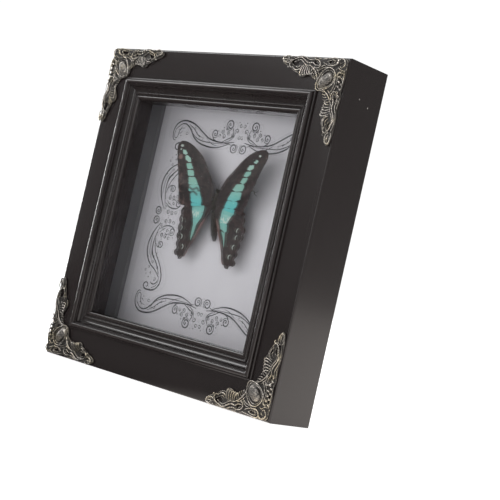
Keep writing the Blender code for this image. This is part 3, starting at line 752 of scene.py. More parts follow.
class SPECIMEN_OT_moulding(bpy.types.Operator):
    """Make the four mitred rails of the moulding"""

    bl_idname = "specimen.moulding"
    bl_label = "Moulding"
    bl_options = {"REGISTER", "UNDO"}

    def execute(self, context):
        finish = painted_wood(context.scene.specimen_frame)
        section = moulding_section()
        reach = [0.0]
        for first, second in zip(section, section[1:] + section[:1]):
            reach.append(reach[-1] + math.dist(first, second))
        bpy.ops.object.select_all(action="DESELECT")
        bpy.ops.mesh.primitive_circle_add(vertices=len(section), radius=0.01, fill_type="NGON")
        rail = bpy.context.object
        for vert, (u, v) in zip(rail.data.vertices, section):
            vert.co = (-HALF_SIDE * MM, -v * MM, (u - HALF_SIDE) * MM)
        bpy.ops.object.mode_set(mode="EDIT")
        bpy.ops.mesh.select_all(action="SELECT")
        length = 2 * HALF_SIDE * MM
        bpy.ops.mesh.extrude_region_move(TRANSFORM_OT_translate={"value": (length, 0, 0)})
        for end in (-1, 1):
            bpy.ops.mesh.select_all(action="SELECT")
            bpy.ops.mesh.bisect(
                plane_co=(-end * MITRE_GAP * MM, 0, 0), plane_no=(end, 0, 1),
                clear_outer=True, use_fill=True, threshold=1e-7,
            )
        bpy.ops.mesh.select_all(action="SELECT")
        bpy.ops.mesh.normals_make_consistent(inside=False)
        bpy.ops.object.mode_set(mode="OBJECT")
        mesh = rail.data
        lookup = {(round(u, 3), round(v, 3)): index for index, (u, v) in enumerate(section)}
        ring, rub, dust = [], [], []
        for vert in mesh.vertices:
            u, v = vert.co.z / MM + HALF_SIDE, -vert.co.y / MM
            ring.append(lookup.get((round(u, 3), round(v, 3)), 0))
            rub.append(rubbed_share(u, v))
            dust.append(dusty_share(u, v))
        store(mesh, "rub", rub)
        store(mesh, "dust", dust)
        layer = mesh.uv_layers[0] if mesh.uv_layers else mesh.uv_layers.new(name="along")
        for face in mesh.polygons:
            rings = [ring[index] for index in face.vertices]
            wraps = len(section) - 1 in rings and 0 in rings
            for loop in face.loop_indices:
                index = mesh.loops[loop].vertex_index
                around = reach[-1] if wraps and ring[index] == 0 else reach[ring[index]]
                layer.data[loop].uv = (mesh.vertices[index].co.x, around * MM)
        for turn, side in enumerate(SIDES):
            obj = linked(f"moulding_{side}", mesh.copy())
            obj.data.transform(side_turn(turn))
            for loop in obj.data.uv_layers[0].data:
                loop.uv.x += 0.4 * turn
            finished(obj, f"moulding_{side}", "black_wood", finish, f"rail_{side}", angle=30.0)
        bpy.data.objects.remove(rail)
        return {"FINISHED"}


def cabochon(half_length, half_width, height, steps=28):
    """An almond on the diagonal, round at the corner end and pointed at the inner end."""
    points = []
    for step in range(steps):
        angle = 2 * math.pi * step / steps
        along = half_length * math.cos(angle)
        across = half_width * math.sin(angle) * (1 - 0.28 * math.cos(angle))
        diagonal = math.sqrt(0.5)
        a = CABOCHON_PLACE + (along - across) * diagonal
        b = CABOCHON_PLACE + (along + across) * diagonal
        points.append((a * MM, b * MM, height * MM))
    return points


def swapped(points):
    """The other arm of the corner: its points mirrored across the diagonal."""
    return [(b, a) for a, b in points]


def casting_plate():
    """The thin pierced plate that carries the relief."""
    outer = [(1.2, 1.2)] + list(PLATE_EDGE) + [(15.4, 15.4)] + swapped(PLATE_EDGE)[::-1]
    outlines = [outer] + [list(hole) for hole in PLATE_HOLES] + [swapped(hole) for hole in PLATE_HOLES]
    data = bpy.data.curves.new("plate", "CURVE")
    data.dimensions = "2D"
    data.fill_mode = "BOTH"
    data.extrude = PLATE_HALF * MM
    data.resolution_u = 5
    for outline in outlines:
        bezier(data, [(a * MM, b * MM, 0) for a, b in outline], cyclic=True)
    obj = linked("plate", data)
    obj.location.z = PLATE_HALF * MM
    return as_mesh(obj)


def ball(place, half):
    """A sphere stretched to its three half sizes, in millimetres."""
    bpy.ops.object.select_all(action="DESELECT")
    bpy.ops.mesh.primitive_uv_sphere_add(
        segments=32, ring_count=18, radius=MM, location=[c * MM for c in place], scale=half,
    )
    bpy.ops.object.transform_apply(location=True, rotation=True, scale=True)
    return bpy.context.object


def antique_metal(settings):
    """Cast metal, dark in the hollows, rubbed bright on the ridges and brassy where it is worn."""
    finish = Finish("antique_cast_metal", Specular_IOR_Level=0.5)
    spot = finish.place()
    cloud = finish.grain(spot, 110.0, 3.0)
    fine = finish.grain(spot, 1500.0, 4.0)
    grit = finish.grain(spot, 5200.0, 2.0)
    ridge = finish.stored("ridge")
    bright = finish.step(ridge + (fine - 0.5) * 0.8 + (cloud - 0.5) * 0.3, 0.30, 0.80)
    warm = finish.step(cloud + (fine - 0.5) * 0.3, 0.42, 0.62)
    lit = finish.mixed(warm * 0.7, settings.metal, settings.brass)
    lit = finish.mixed(finish.step(grit, 0.62, 0.8) * 0.45, lit, settings.patina)
    colour = finish.mixed(bright, settings.patina, lit)
    rough = 0.56 - bright * 0.32 + (fine - 0.5) * 0.2
    finish.bumped(fine * 0.7 + grit * 0.3, 0.00008, 0.7)
    return finish.give(Base_Color=colour, Metallic=bright * 0.8 + 0.15, Roughness=rough.clamped())


def ridge_shares(mesh):
    """For each vertex of the casting, 0 deep in a hollow and 1 on top of a ridge."""
    heights = [vert.co.z / MM for vert in mesh.vertices]
    domes = [1 - smooth_step(math.dist(vert.co[:2], (CABOCHON_PLACE * MM,) * 2), 2.9 * MM, 3.4 * MM)
             for vert in mesh.vertices]
    near = [[] for _ in heights]
    for edge in mesh.edges:
        first, second = edge.vertices
        near[first].append(second)
        near[second].append(first)
    wide = list(heights)
    for _ in range(14):
        wide = [(wide[i] + sum(wide[j] for j in near[i])) / (1 + len(near[i])) for i in range(len(wide))]
    shares = []
    for height, mean, dome in zip(heights, wide, domes):
        shares.append(0.23 * smooth_step(height, 0.3, 0.8) + 0.36 * smooth_step(height, 0.9, 2.2)
                      + 0.66 * smooth_step(height - mean, -0.05, 0.30) - 0.18 * dome)
    return [min(1.0, share) for share in shares]


class SPECIMEN_OT_castings(bpy.types.Operator):
    """Make the four pierced metal corners"""

    bl_idname = "specimen.castings"
    bl_label = "Cast corners"
    bl_options = {"REGISTER", "UNDO"}

    def execute(self, context):
        settings = context.scene.specimen_frame
        parts = [casting_plate()]
        both = ARM_STROKES + COMB_STROKES + FEATHER_STROKES
        upright = tuple((radius, height, swapped(line)) for radius, height, line in both + BEAD_STROKES)
        for radius, height, line in both + LOOP_STROKES + CORNER_STROKES + upright:
            parts.append(stroke(tapered(line, height), radius * MM))
        for half_length, half_width, radius, height in CABOCHON_RIMS:
            parts.append(stroke(cabochon(half_length, half_width, height), radius * MM, cyclic=True))
        for a, b, radius in EDGE_BEADS:
            parts.append(ball((b, a, BEAD_HEIGHT), [BEAD_SWELL * radius] * 3))
        dome = ball((0, 0, 0), CABOCHON_DOME)
        dome.data.transform(Matrix.Rotation(math.pi / 4, 4, "Z"))
        centre = (CABOCHON_PLACE * MM, CABOCHON_PLACE * MM, DOME_HEIGHT * MM)
        dome.data.transform(Matrix.Translation(centre))
        casting = joined(parts + [dome], "casting")
        apply_modifier(casting, "REMESH", mode="VOXEL", voxel_size=settings.voxel)
        apply_modifier(casting, "SMOOTH", factor=0.5, iterations=3)
        mesh = casting.data
        normals = [vert.normal.copy() for vert in mesh.vertices]
        for vert, normal in zip(mesh.vertices, normals):
            if vert.co.z > 0.3 * MM:
                uneven = 0.06 * noise.noise(vert.co * 900) + 0.09 * noise.noise(vert.co * 2300)
                vert.co += normal * uneven * MM
            vert.co.z = min(max(vert.co.z, 0.0), CASTING_TOP * MM)
        store(mesh, "ridge", ridge_shares(mesh))
        finish = antique_metal(settings)
        front = (FACE_Y - ORNAMENT_GAP) * MM
        for level, rise, foot in (("top", -1, 2 * HALF_SIDE * MM), ("bottom", 1, 0)):
            for word, side in (("left", -1), ("right", 1)):
                copy = mesh.copy()
                copy.transform(Matrix((
                    (-side, 0, 0, side * HALF_SIDE * MM), (0, 0, -1, front), (0, rise, 0, foot), (0, 0, 0, 1),
                )))
                if side * rise > 0:
                    copy.flip_normals()
                name = f"{level}_{word}"
                obj = linked(f"casting_{name}", copy)
                finished(obj, f"casting_{name}", "antique_metal", finish, f"corner_{name}")
        bpy.data.objects.remove(casting)
        return {"FINISHED"}


def clear_glass():
    """Clear float glass that lets lamps through, with a faint haze of dust."""
    finish = Finish("clear_float_glass", Roughness=0.0, IOR=1.12, Transmission_Weight=1.0)
    finish.feed(finish.shader.inputs["Base Color"], (0.985, 1.0, 0.995))
    haze = finish.grain(finish.place(), 60.0, 3.0)
    finish.give(Roughness=finish.step(haze, 0.55, 0.9) * 0.02)
    through = finish.node("BsdfTransparent", None, {"Color": (0.96, 0.97, 0.965)})
    shadow = Number(finish.tree, finish.node("LightPath").outputs["Is Shadow Ray"])
    mix = finish.node("MixShader", None, {
        "Fac": (shadow + 0.9).clamped(), 1: finish.shader.outputs[0], 2: through.outputs[0],
    })
    finish.tree.links.new(mix.outputs[0], finish.output.inputs["Surface"])
    return finish.material


def shaded(colour, share):
    """A lighter or darker shade of a colour."""
    return [min(1, c * share) for c in colour]


def paper(name, colour, other, scale, bump):
    """Uncoated card: fine fibres, a slight mottle, and soft relief."""
    finish = Finish(name, Roughness=0.78, Specular_IOR_Level=0.3)
    spot = finish.place()
    fibre = finish.grain(finish.place((1.0, 1.0, 3.2)), scale, 5.0, 0.65)
    cloud = finish.grain(spot, 30.0, 3.0)
    shade = finish.mixed((fibre * 0.55 + cloud * 0.45 - 0.2).clamped(), colour, other)
    finish.bumped(fibre, bump, 0.5)
    return finish.give(Base_Color=shade, Roughness=(0.74 + (fibre - 0.5) * 0.16).clamped())


def printed_ink(colour):
    """Black ink, slightly uneven where it sank into the card."""
    finish = Finish("printing_ink", Specular_IOR_Level=0.35)
    spot = finish.place()
    patchy = finish.grain(spot, 700.0, 3.0)
    shade = finish.mixed(finish.step(patchy, 0.45, 0.8) * 0.25, colour, (0.09, 0.085, 0.095))
    finish.bumped(patchy, 0.00001, 0.4)
    return finish.give(Base_Color=shade, Roughness=0.5 + patchy * 0.2)


def ink_line(points, width, height):
    """One printed line as a thin flat film, thinner at its ends."""
    last = len(points) - 1
    places = []
    for index, (x, z) in enumerate(points):
        share = min(1.0, 0.45 + 1.6 * min(index, last - index) / max(last, 1))
        places.append((x * MM, z * MM, 0, share))
    line = stroke(places, width * MM, steps=5 if last < 16 else 2, sides=0)
    for vert in line.data.vertices:
        vert.co.z *= height / (width * MM)
    return line


class SPECIMEN_OT_box_lining(bpy.types.Operator):
    """Dress the glass, lining strips and card, and print the scroll border"""

    bl_idname = "specimen.box_lining"
    bl_label = "Glass, lining and print"
    bl_options = {"REGISTER", "UNDO"}

    def execute(self, context):
        settings = context.scene.specimen_box
        dress("glass_pane", clear_glass())
        lining = paper("lining_board", settings.lining, shaded(settings.lining, 1.5), 900.0, 0.00005)
        for side in SIDES:
            dress(f"spacer_{side}", lining)
        card = paper("lilac_card", settings.card, shaded(settings.card, 1.10), 1300.0, 0.00004)
        dress("printed_card", card)
        height = settings.ink_depth
        lines = LEVEL_LINES + LEVEL_STEMS + UPRIGHT_LINES + UPRIGHT_STEMS
        dots = list(BORDER_DOTS)
        for x, z, radius, width, start, turns in LEVEL_CURLS + UPRIGHT_CURLS:
            lines += ((width, spiral((x, z), radius, start, turns)),)
            if turns > 1.1:
                dots.append((x, z, width * 1.25))
        around, left = [], []
        for width, points in lines:
            near = min(x for x, z in points) < LEFT_REACH and max(z for x, z in points) < LEFT_REACH + 2.5
            (left if near else around).append(ink_line(points, width, height))
        for x, z, radius in dots:
            (left if x < LEFT_REACH and z < LEFT_REACH else around).append(self.dot(x, z, radius, height))
        around = joined(around, "around")
        left = joined(left, "left")
        middle = Vector((PRINT_CENTRE[0] * MM, (CARD_FRONT - PRINT_GAP) * MM, PRINT_CENTRE[1] * MM))
        copies = []
        for source, along, rise in (
            (around, -1, -1), (around, -1, 1), (around, 1, -1), (around, 1, 1), (left, -1, -1), (left, -1, 1),
        ):
            mesh = source.data.copy()
            mesh.transform(Matrix((
                (along, 0, 0, middle.x), (0, 0, -1, middle.y), (0, rise, 0, middle.z), (0, 0, 0, 1),
            )))
            if along * rise < 0:
                mesh.flip_normals()
            copies.append(linked("quarter", mesh))
        bpy.data.objects.remove(around)
        bpy.data.objects.remove(left)
        finish = printed_ink(settings.ink)
        finished(joined(copies, "printed_border"), "printed_border", "lilac_card", finish)
        return {"FINISHED"}

    def dot(self, x, z, radius, height):
        """One small printed dot."""
        bpy.ops.object.select_all(action="DESELECT")
        bpy.ops.mesh.primitive_cylinder_add(
            vertices=14, radius=radius * MM, depth=2 * height, location=(x * MM, z * MM, 0),
        )
        bpy.ops.object.transform_apply(location=True)
        return bpy.context.object


def curved(before, first, second, after, step):
    """Points from first towards second on a smooth line, with a point about every step."""
    parts = max(1, round((second - first).length / step))
    for part in range(parts):
        t = part / parts
        yield 0.5 * (
            2 * first + (second - before) * t
            + (2 * before - 5 * first + 4 * second - after) * t * t
            + (3 * first - before - 3 * second + after) * t ** 3
        )


def smooth_loop(points, step):
    """A closed outline through the points."""
    places = [Vector(point) for point in points]
    places = places[-1:] + places + places[:2]
    return [made for i in range(len(points)) for made in curved(*places[i:i + 4], step)]


def smooth_path(points, step):
    """An open line through the points."""
    places = [Vector(point) for point in points]
    places = [2 * places[0] - places[1]] + places + [2 * places[-1] - places[-2]]
    return [made for i in range(len(points) - 1) for made in curved(*places[i:i + 4], step)] + places[-2:-1]


def inside(point, loop):
    """True if the point lies in the closed outline."""
    x, y = point
    found = False
    before = loop[-1]
    for here in loop:
        if (here[1] > y) != (before[1] > y):
            cross = (before[0] - here[0]) * (y - here[1]) / (before[1] - here[1]) + here[0]
            if x < cross:
                found = not found
        before = here
    return found


def swollen(points, share):
    """A closed outline made larger about its own middle."""
    middle = sum(points, Vector((0, 0))) / len(points)
    return [middle + (point - middle) * share for point in points]


def rounded(points, rounds=2):
    """A closed outline with its corners cut round."""
    for _ in range(rounds):
        made = []
        for first, second in zip(points, points[1:] + points[:1]):
            made += [first * 0.90 + second * 0.10, first * 0.10 + second * 0.90]
        points = made
    return points


def crescent(s, z, size):
    """A small moon that opens towards the wing's edge, as an outline."""
    outer = arc((s, z), size, 70, 250, 8)
    inner = arc((s + 0.42 * size, z - 0.1 * size), size * 0.98, 235, 85, 8)
    return [Vector(point) for point in outer + inner]


def nearest(point, places):
    """Distance to the nearest of some places."""
    return min(((point - place).length for place in places), default=99.0)


def wing_finish(settings):
    """Powdery wing scales: brown-black ground, blue-green band, pale spots and worn streaks."""
    finish = Finish("butterfly_wing_scales", Specular_IOR_Level=0.25)
    streak = finish.grain(finish.place((260, 14, 1), "UV"), 1.0, 5.0, 0.65)
    scales = finish.grain(finish.place((2600, 900, 1), "UV"), 1.0, 2.0)
    blot = finish.grain(finish.place(), 460.0, 5.0, 0.65)
    band = finish.stored("band")
    pale = finish.stored("pale")
    vein = finish.stored("vein")
    wear = finish.stored("wear")
    along = finish.stored("along")
    torn = finish.step(wear * 0.9 + (blot - 0.5) * 1.5 + (streak - 0.5) * 0.6, 0.40, 0.85)
    faded = finish.step(streak * 0.55 + blot * 0.55, 0.45, 0.72)
    ground = finish.mixed(faded * 0.62, settings.ground, (0.085, 0.050, 0.050))
    ground = finish.mixed(vein * 0.45, ground, (0.018, 0.013, 0.013))
    ground = finish.mixed(torn * 0.85, ground, settings.worn)
    tint = finish.mixed(along, settings.blue, settings.green)
    tint = finish.mixed(finish.step(scales * 0.5 + streak * 0.5, 0.45, 0.8) * 0.3, tint, (0.18, 0.51, 0.50))
    tint = finish.mixed(finish.step(blot, 0.55, 0.8) * 0.25, tint, (0.03, 0.26, 0.27))
    colour = finish.mixed(band, ground, tint)
    colour = finish.mixed(pale, colour, settings.pale)
    finish.bumped(scales * 0.6 + streak * 0.6, 0.00006, 0.7)
    rough = 0.56 + (scales - 0.5) * 0.22 - band * 0.08
    return finish.give(Base_Color=colour, Roughness=rough.clamped())


def wing_outline(wing, hind, side):
    """A wing's outline, scalloped on the hind wing and lightly notched on the fore wing."""
    outline = smooth_loop(wing["root"] + wing["edge"], 0.35)
    for point in outline:
        if hind and side > 0:
            point.x -= 2.0 * smooth_step(point.y, 83, 89) * smooth_step(point.x, 16, 21)
        if hind and point.x > 16 and point.y < 92:
            point.x -= 0.85 * abs(math.sin((point.y - 1.2) * math.pi / 4.4)) ** 3
        elif not hind and point.x > 24 and point.y < 120:
            point.x -= 0.18 * abs(math.sin(point.y * math.pi / 3.6)) ** 4
    return outline


def wing_patches(name, hind):
    """Outlines of a wing's pattern: the band's patches first, then pale spots and crescents."""
    patches = []
    for index, patch in enumerate(BAND[name]):
        swell = 1.055 if hind or index > 3 else 0.99
        patches.append(rounded(swollen([Vector(point) for point in patch], swell)))
    for s, z, half_s, half_z in PALE_SPOTS.get(name, ()):
        turns = [turn * math.pi / 7 for turn in range(14)]
        patches.append([Vector((s + half_s * math.cos(t), z + half_z * math.sin(t))) for t in turns])
    patches += [crescent(s, z, 0.85 * size) for s, z, size in CRESCENTS.get(name, ())]
    return patches


def in_cells(items):
    """Points, or pairs that start with one, sorted into square cells one millimetre wide."""
    cells = {}
    for item in items:
        x, y = item[0] if isinstance(item, tuple) else item
        cells.setdefault((int(x), int(y)), []).append(item)
    return cells


def near_in(cells, x, y):
    """What lies in the cell of a place and in the eight cells round it."""
    return [item for i in (-1, 0, 1) for j in (-1, 0, 1) for item in cells.get((int(x) + i, int(y) + j), ())]


def wing_net(name, outline, patches, veins, grid):
    """Points and edges of a flat wing: its outline, its pattern, its veins and a jittered grid."""
    points, edges = list(outline), []
    for closed, lines in ((True, patches), (False, veins)):
        for line in lines:
            kept = [point for point in line if inside(point, outline) and nearest(point, outline) > 0.12]
            start = len(points)
            points += kept
            edges += [(start + i, start + i + 1) for i in range(len(kept) - 1)
                      if (kept[i] - kept[i + 1]).length < 0.8]
            if closed and len(kept) == len(line) and len(kept) >= 3:
                edges.append((start + len(kept) - 1, start))
    cells = in_cells(points)
    low = min(point.y for point in outline)
    rng = random.Random(name)
    for row in range(int(62 / (grid * ROW_SHARE))):
        z = low + row * grid * ROW_SHARE
        for column in range(int(36 / grid)):
            s = (column + 0.5 * (row % 2)) * grid
            shift = [rng.uniform(-GRID_JITTER, GRID_JITTER) for _ in range(2)]
            spot = Vector((s + shift[0], z + shift[1]))
            if inside(spot, outline) and nearest(spot, near_in(cells, *spot)) > 0.6 * grid:
                points.append(spot)
    return points, edges


def wing_place(wing, hind, side, spot, ridge):
    """Where a point of the flat wing lies, in metres, with its slope, waves, folds and raised veins."""
    s, z = spot
    tilt = math.atan(wing["slope"])
    reach = math.hypot(s, z - THORAX_Z)
    wave = 0.22 * math.sin(reach * 0.34 + 0.9 * side) * smooth_step(reach, 3, 14)
    wave += 0.16 * noise.noise((s * 0.16, z * 0.16, 3.1 * side + (5.0 if hind else 0.0)))
    wave += 0.10 * math.sin(math.atan2(z - THORAX_Z, s) * 21) * smooth_step(reach, 8, 24)
    apart = 0.15 * s
    if hind:
        nearer = -0.30 * apart * smooth_step(z, 82, 93)
    else:
        nearer = 0.58 * apart * (1 - smooth_step(z, 91, 103))
    depth = wing["depth"] + s * math.sin(tilt) + wave + nearer - VEIN_RISE * ridge
    return ((INSECT_X + side * s * math.cos(tilt) - nearer) * MM, (FACE_Y + depth) * MM, z * MM)


def wing_wear(hind, side, spot, edge):
    """How worn the scales are: at the edge, along the hind wing's inner side, and on the left fore wing."""
    s, z = spot
    wear = 0.42 * (1 - smooth_step(edge, 0.0, 0.9))
    if hind:
        inner = 1 - smooth_step(s - (4.8 + (85.2 - z) * 0.42), 0.8, 2.9)
        wear = max(wear * 0.7, 1.15 * inner * (1 - smooth_step(z, 84, 90)))
    elif side < 0:
        wear = max(wear, 0.52 * smooth_step(s - 0.52 * z, -32.5, -28.6))
        wear = max(wear, 0.95 * (1 - smooth_step(math.dist((s, z), WORN_PATCH), 0.7, 2.4)))
    return min(1.1, wear)


def face_pattern(middle, hit, bands, hind, side, scar):
    """A face's shares of band colour, of pale scales, and of the paler green towards the tip."""
    band = 1.0 if 0 <= hit < bands else 0.0
    pale = 0.7 if hit >= bands else 0.0
    if hind and hit == 0:
        blotch = smooth_step(noise.noise((middle.x * 1.1, middle.y * 0.8, 9.0 * side)), -0.18, 0.12)
        pale = 0.80 * blotch * (1 - smooth_step(middle.y, 89.0, 91.0)) * smooth_step(middle.y, 83.6, 86.0)
    elif not hind and 0 <= hit < 2:
        pale = 0.25
    if band and scar < SCAR_REACH[1]:
        band = 0.22 if scar < SCAR_REACH[0] else 0.66
    along = 0.6 + 0.3 * smooth_step(88 - middle.y, 0, 10) if hind else smooth_step(middle.y, 93, 106)
    return band, pale, along


def wing_mesh(name, wing, side, step):
    """A thin wing with raised veins and its pattern kept on the mesh."""
    hind = name.startswith("hind")
    outline = wing_outline(wing, hind, side)
    patches = wing_patches(name, hind)
    veins = [smooth_path(vein, LINE_STEP) for vein in wing["veins"]]
    cuts = [point for line in SCRATCHES.get(name, ()) for point in smooth_path(line, LINE_STEP)]
    points, edges = wing_net(name, outline, patches, veins, step / MM)
    flat, _, faces, _, _, _ = geometry.delaunay_2d_cdt(points, edges, [list(range(len(outline)))], 1, 1e-5)
    vein_cells = in_cells((point, 1 - 0.5 * i / len(vein)) for vein in veins for i, point in enumerate(vein))
    ridges = [max((weight * math.exp(-((spot - place).length / VEIN_WIDTH) ** 2)
                   for place, weight in near_in(vein_cells, *spot)), default=0.0) for spot in flat]
    mesh = bpy.data.meshes.new(name)
    places = [wing_place(wing, hind, side, spot, ridge) for spot, ridge in zip(flat, ridges)]
    mesh.from_pydata(places, [], [tuple(face) for face in faces])
    store(mesh, "vein", ridges)
    store(mesh, "wear", [wing_wear(hind, side, spot, nearest(spot, outline)) for spot in flat])
    rays = [(math.atan2(z - THORAX_Z, s) * 0.02, math.hypot(s, z - THORAX_Z) * MM) for s, z in flat]
    loops = mesh.uv_layers.new(name="rays")
    shares = []
    for face in mesh.polygons:
        middle = sum((flat[i] for i in face.vertices), Vector((0, 0))) / len(face.vertices)
        hit = next((i for i, patch in enumerate(patches) if inside(middle, patch)), -1)
        shares.append(face_pattern(middle, hit, len(BAND[name]), hind, side, nearest(middle, cuts)))
        for index in face.loop_indices:
            loops.data[index].uv = rays[mesh.loops[index].vertex_index]
    for key, values in zip(("band", "pale", "along"), zip(*shares)):
        store(mesh, key, values, "FACE")
    return mesh


class SPECIMEN_OT_wings(bpy.types.Operator):
    """Make the two pairs of patterned wings"""

    bl_idname = "specimen.wings"
    bl_label = "Wings"
    bl_options = {"REGISTER", "UNDO"}

    def execute(self, context):
        settings = context.scene.specimen_insect
        finish = wing_finish(settings)
        for word, side in (("left", -1), ("right", 1)):
            for kind, wing in (("forewing", FOREWING), ("hindwing", HINDWING)):
                name = f"{kind}_{word}"
                obj = linked(name, wing_mesh(name, wing, side, settings.mesh_step))
                apply_modifier(obj, "SOLIDIFY", thickness=settings.wing_thickness, offset=0.0)
                face_outwards(obj)
                finished(obj, f"{name}_scaled", "wing_scales", finish, name)
        return {"FINISHED"}


def insect_place(s, depth, z):
    """A place on the insect, in metres."""
    return Vector((INSECT_X + s, FACE_Y + depth, z)) * MM


def insect_ball(s, place, half):
    """A ball on the insect, from its side distance, its depth and height, and its half sizes."""
    depth, z = place
    return ball((INSECT_X + s, FACE_Y + depth, z), half)


def hair_finish(settings):
    """Dry dark body covered in short hair."""
    finish = Finish("body_hair", Specular_IOR_Level=0.35)
    spot = finish.place()
    fine = finish.grain(finish.place((1, 1, 0.3)), 3800.0, 3.0)
    cloud = finish.grain(spot, 500.0, 3.0)
    worn = finish.step(cloud * 0.6 + fine * 0.4, 0.4, 0.7)
    shade = finish.mixed(worn, settings.body, (0.085, 0.070, 0.062))
    finish.bumped(fine, 0.00012, 0.8)
    return finish.give(Base_Color=shade, Roughness=0.62 + (fine - 0.5) * 0.3)


def eye_finish():
    """Glossy dark faceted eye."""
    finish = Finish("compound_eye", Coat_Weight=0.4, Coat_Roughness=0.1)
    facet = finish.cells(finish.place(), 9000.0)
    finish.bumped(facet, 0.00003, 0.6)
    shade = finish.mixed(finish.step(facet, 0.2, 0.7), (0.016, 0.010, 0.008), (0.045, 0.030, 0.022))
    return finish.give(Base_Color=shade, Roughness=0.22 + facet * 0.1)


def hairs(mesh, count, length, thickness, seed):
    """Short tapered hairs that lean towards the tail, rooted on a mesh's faces."""
    rng = random.Random(seed)
    sizes = [face.area for face in mesh.polygons]
    verts, triangles = [], []
    for face in rng.choices(list(mesh.polygons), weights=sizes, k=count):
        root = face.center.copy()
        lean = Vector((rng.uniform(-0.3, 0.3), rng.uniform(-0.3, 0.3), -0.75 + rng.uniform(-0.3, 0.3)))
        way = (face.normal * 0.75 + lean).normalized()
        reach = length * rng.uniform(0.55, 1.15)
        side = way.orthogonal().normalized() * thickness
        other = way.cross(side).normalized() * thickness
        start = len(verts)
        base = root - face.normal * 0.08 * MM
        bend = root + way * reach * 0.5 + Vector((0, 0, -0.05 * MM))
        verts += [base + side, base - 0.5 * side + 0.86 * other, base - 0.5 * side - 0.86 * other]
        verts += [bend + 0.6 * side, bend - 0.3 * side + 0.5 * other, bend - 0.3 * side - 0.5 * other]
        verts.append(root + way * reach + Vector((0, 0, -0.12 * MM)))
        for turn in range(3):
            after = (turn + 1) % 3
            triangles.append((start + turn, start + after, start + 3 + after, start + 3 + turn))
            triangles.append((start + 3 + turn, start + 3 + after, start + 6))
    made = bpy.data.meshes.new("hair")
    made.from_pydata(verts, [], triangles)
    obj = linked("hair", made)
    face_outwards(obj)
    return obj


def thinning(points, radius):
    """A stroke on the insect that grows thinner from its first point, like a leg or an antenna."""
    return stroke([(*insect_place(*point), 1 - 0.2 * i) for i, point in enumerate(points)], radius * MM)


class SPECIMEN_OT_body(bpy.types.Operator):
    """Make the butterfly's hairy body, eyes and the loose leg caught on a wing"""

    bl_idname = "specimen.body"
    bl_label = "Body"
    bl_options = {"REGISTER", "UNDO"}

    def execute(self, context):
        settings = context.scene.specimen_insect
        parts = [insect_ball(0, *THORAX), insect_ball(0, *HEAD)]
        line = [(*insect_place(*point[:3]), point[3]) for point in ABDOMEN]
        parts.append(stroke(line, MM, steps=14, sides=6))
        for side in (-1, 1):
            line = [(*insect_place(side * s, depth, z), share) for s, depth, z, share in PALPS]
            parts.append(stroke(line, PALP_RADIUS * MM))
        body = joined(parts, "body")
        apply_modifier(body, "REMESH", mode="VOXEL", voxel_size=BODY_DETAIL * MM)
        apply_modifier(body, "SMOOTH", factor=0.5, iterations=4)
        normals = [vert.normal.copy() for vert in body.data.vertices]
        for vert, normal in zip(body.data.vertices, normals):
            z = vert.co.z / MM
            if z < ABDOMEN_TOP:
                vert.co += normal * RING_DEPTH * MM * math.sin(z * 2 * math.pi / RING_PITCH)
        coat = hairs(body.data, HAIR_COUNT, HAIR_LENGTH * MM, HAIR_RADIUS * MM, HAIR_SEED)
        antennae = [thinning(points, ANTENNA_RADIUS) for points in ANTENNAE]
        body = joined([body, coat] + antennae, "body")
        finished(body, "butterfly_hairy_body", "insect_body", hair_finish(settings), "butterfly_body")
        eyes = [insect_ball(side * EYE_APART, *EYES) for side in (-1, 1)]
        finished(joined(eyes, "eyes"), "butterfly_eyes", "insect_body", eye_finish())
        legs = [thinning(points, LEG_RADIUS) for points in LOOSE_LEG]
        finished(joined(legs, "leg"), "loose_leg", "insect_body", hair_finish(settings))
        return {"FINISHED"}


def fibreboard(colour):
    """Hard brown fibreboard with pressed fibres."""
    finish = Finish("hard_fibreboard", Specular_IOR_Level=0.35)
    spot = finish.place()
    fibre = finish.grain(spot, 1600.0, 6.0, 0.7)
    fleck = finish.grain(finish.place((1, 1, 5)), 240.0, 4.0, 0.7)
    light = finish.step(fibre * 0.5 + fleck * 0.5, 0.35, 0.7)
    shade = finish.mixed(light, shaded(colour, 0.62), shaded(colour, 1.3))
    finish.bumped(fibre, 0.00008, 0.7)
    return finish.give(Base_Color=shade, Roughness=0.72 + (fibre - 0.5) * 0.2)


def zinc_plate(colour):
    """Rolled zinc plated steel with fine scratches and dull bloom."""
    finish = Finish("zinc_plated_steel")
    rolled = finish.grain(finish.place((9, 1, 1)), 700.0, 3.0)
    bloom = finish.grain(finish.place(), 160.0, 4.0)
    shade = finish.mixed(finish.step(bloom, 0.4, 0.75), colour, shaded(colour, 0.7))
    finish.bumped(rolled, 0.00002, 0.4)
    rough = 0.32 + (rolled - 0.5) * 0.2 + (bloom - 0.5) * 0.25
    return finish.give(Base_Color=shade, Roughness=rough.clamped(), Metallic=0.95 - bloom * 0.1)


def cut_cork():
    """Cut cork with dark pores."""
    finish = Finish("cut_cork", Specular_IOR_Level=0.3)
    grains = finish.cells(finish.place(), 1500.0)
    pores = finish.grain(finish.place(), 2600.0, 4.0)
    dark = finish.step(grains + (pores - 0.5) * 0.5, 0.2, 0.7)
    shade = finish.mixed(dark, (0.44, 0.29, 0.16), (0.20, 0.11, 0.05))
    finish.bumped(pores + grains * 0.5, 0.0001, 0.7)
    return finish.give(Base_Color=shade, Roughness=0.82 + (pores - 0.5) * 0.15)


class SPECIMEN_OT_back(bpy.types.Operator):
    """Dress the back board, its tabs, the hanger and the mounting block"""

    bl_idname = "specimen.back"
    bl_label = "Back"
    bl_options = {"REGISTER", "UNDO"}

    def execute(self, context):
        settings = context.scene.specimen_box
        dress("back_board", fibreboard(settings.board))
        zinc = zinc_plate(settings.zinc)
        for side in SIDES:
            dress(f"backing_tab_{side}", zinc)
        dress("sawtooth_hanger", zinc)
        dress("mounting_block", cut_cork())
        return {"FINISHED"}


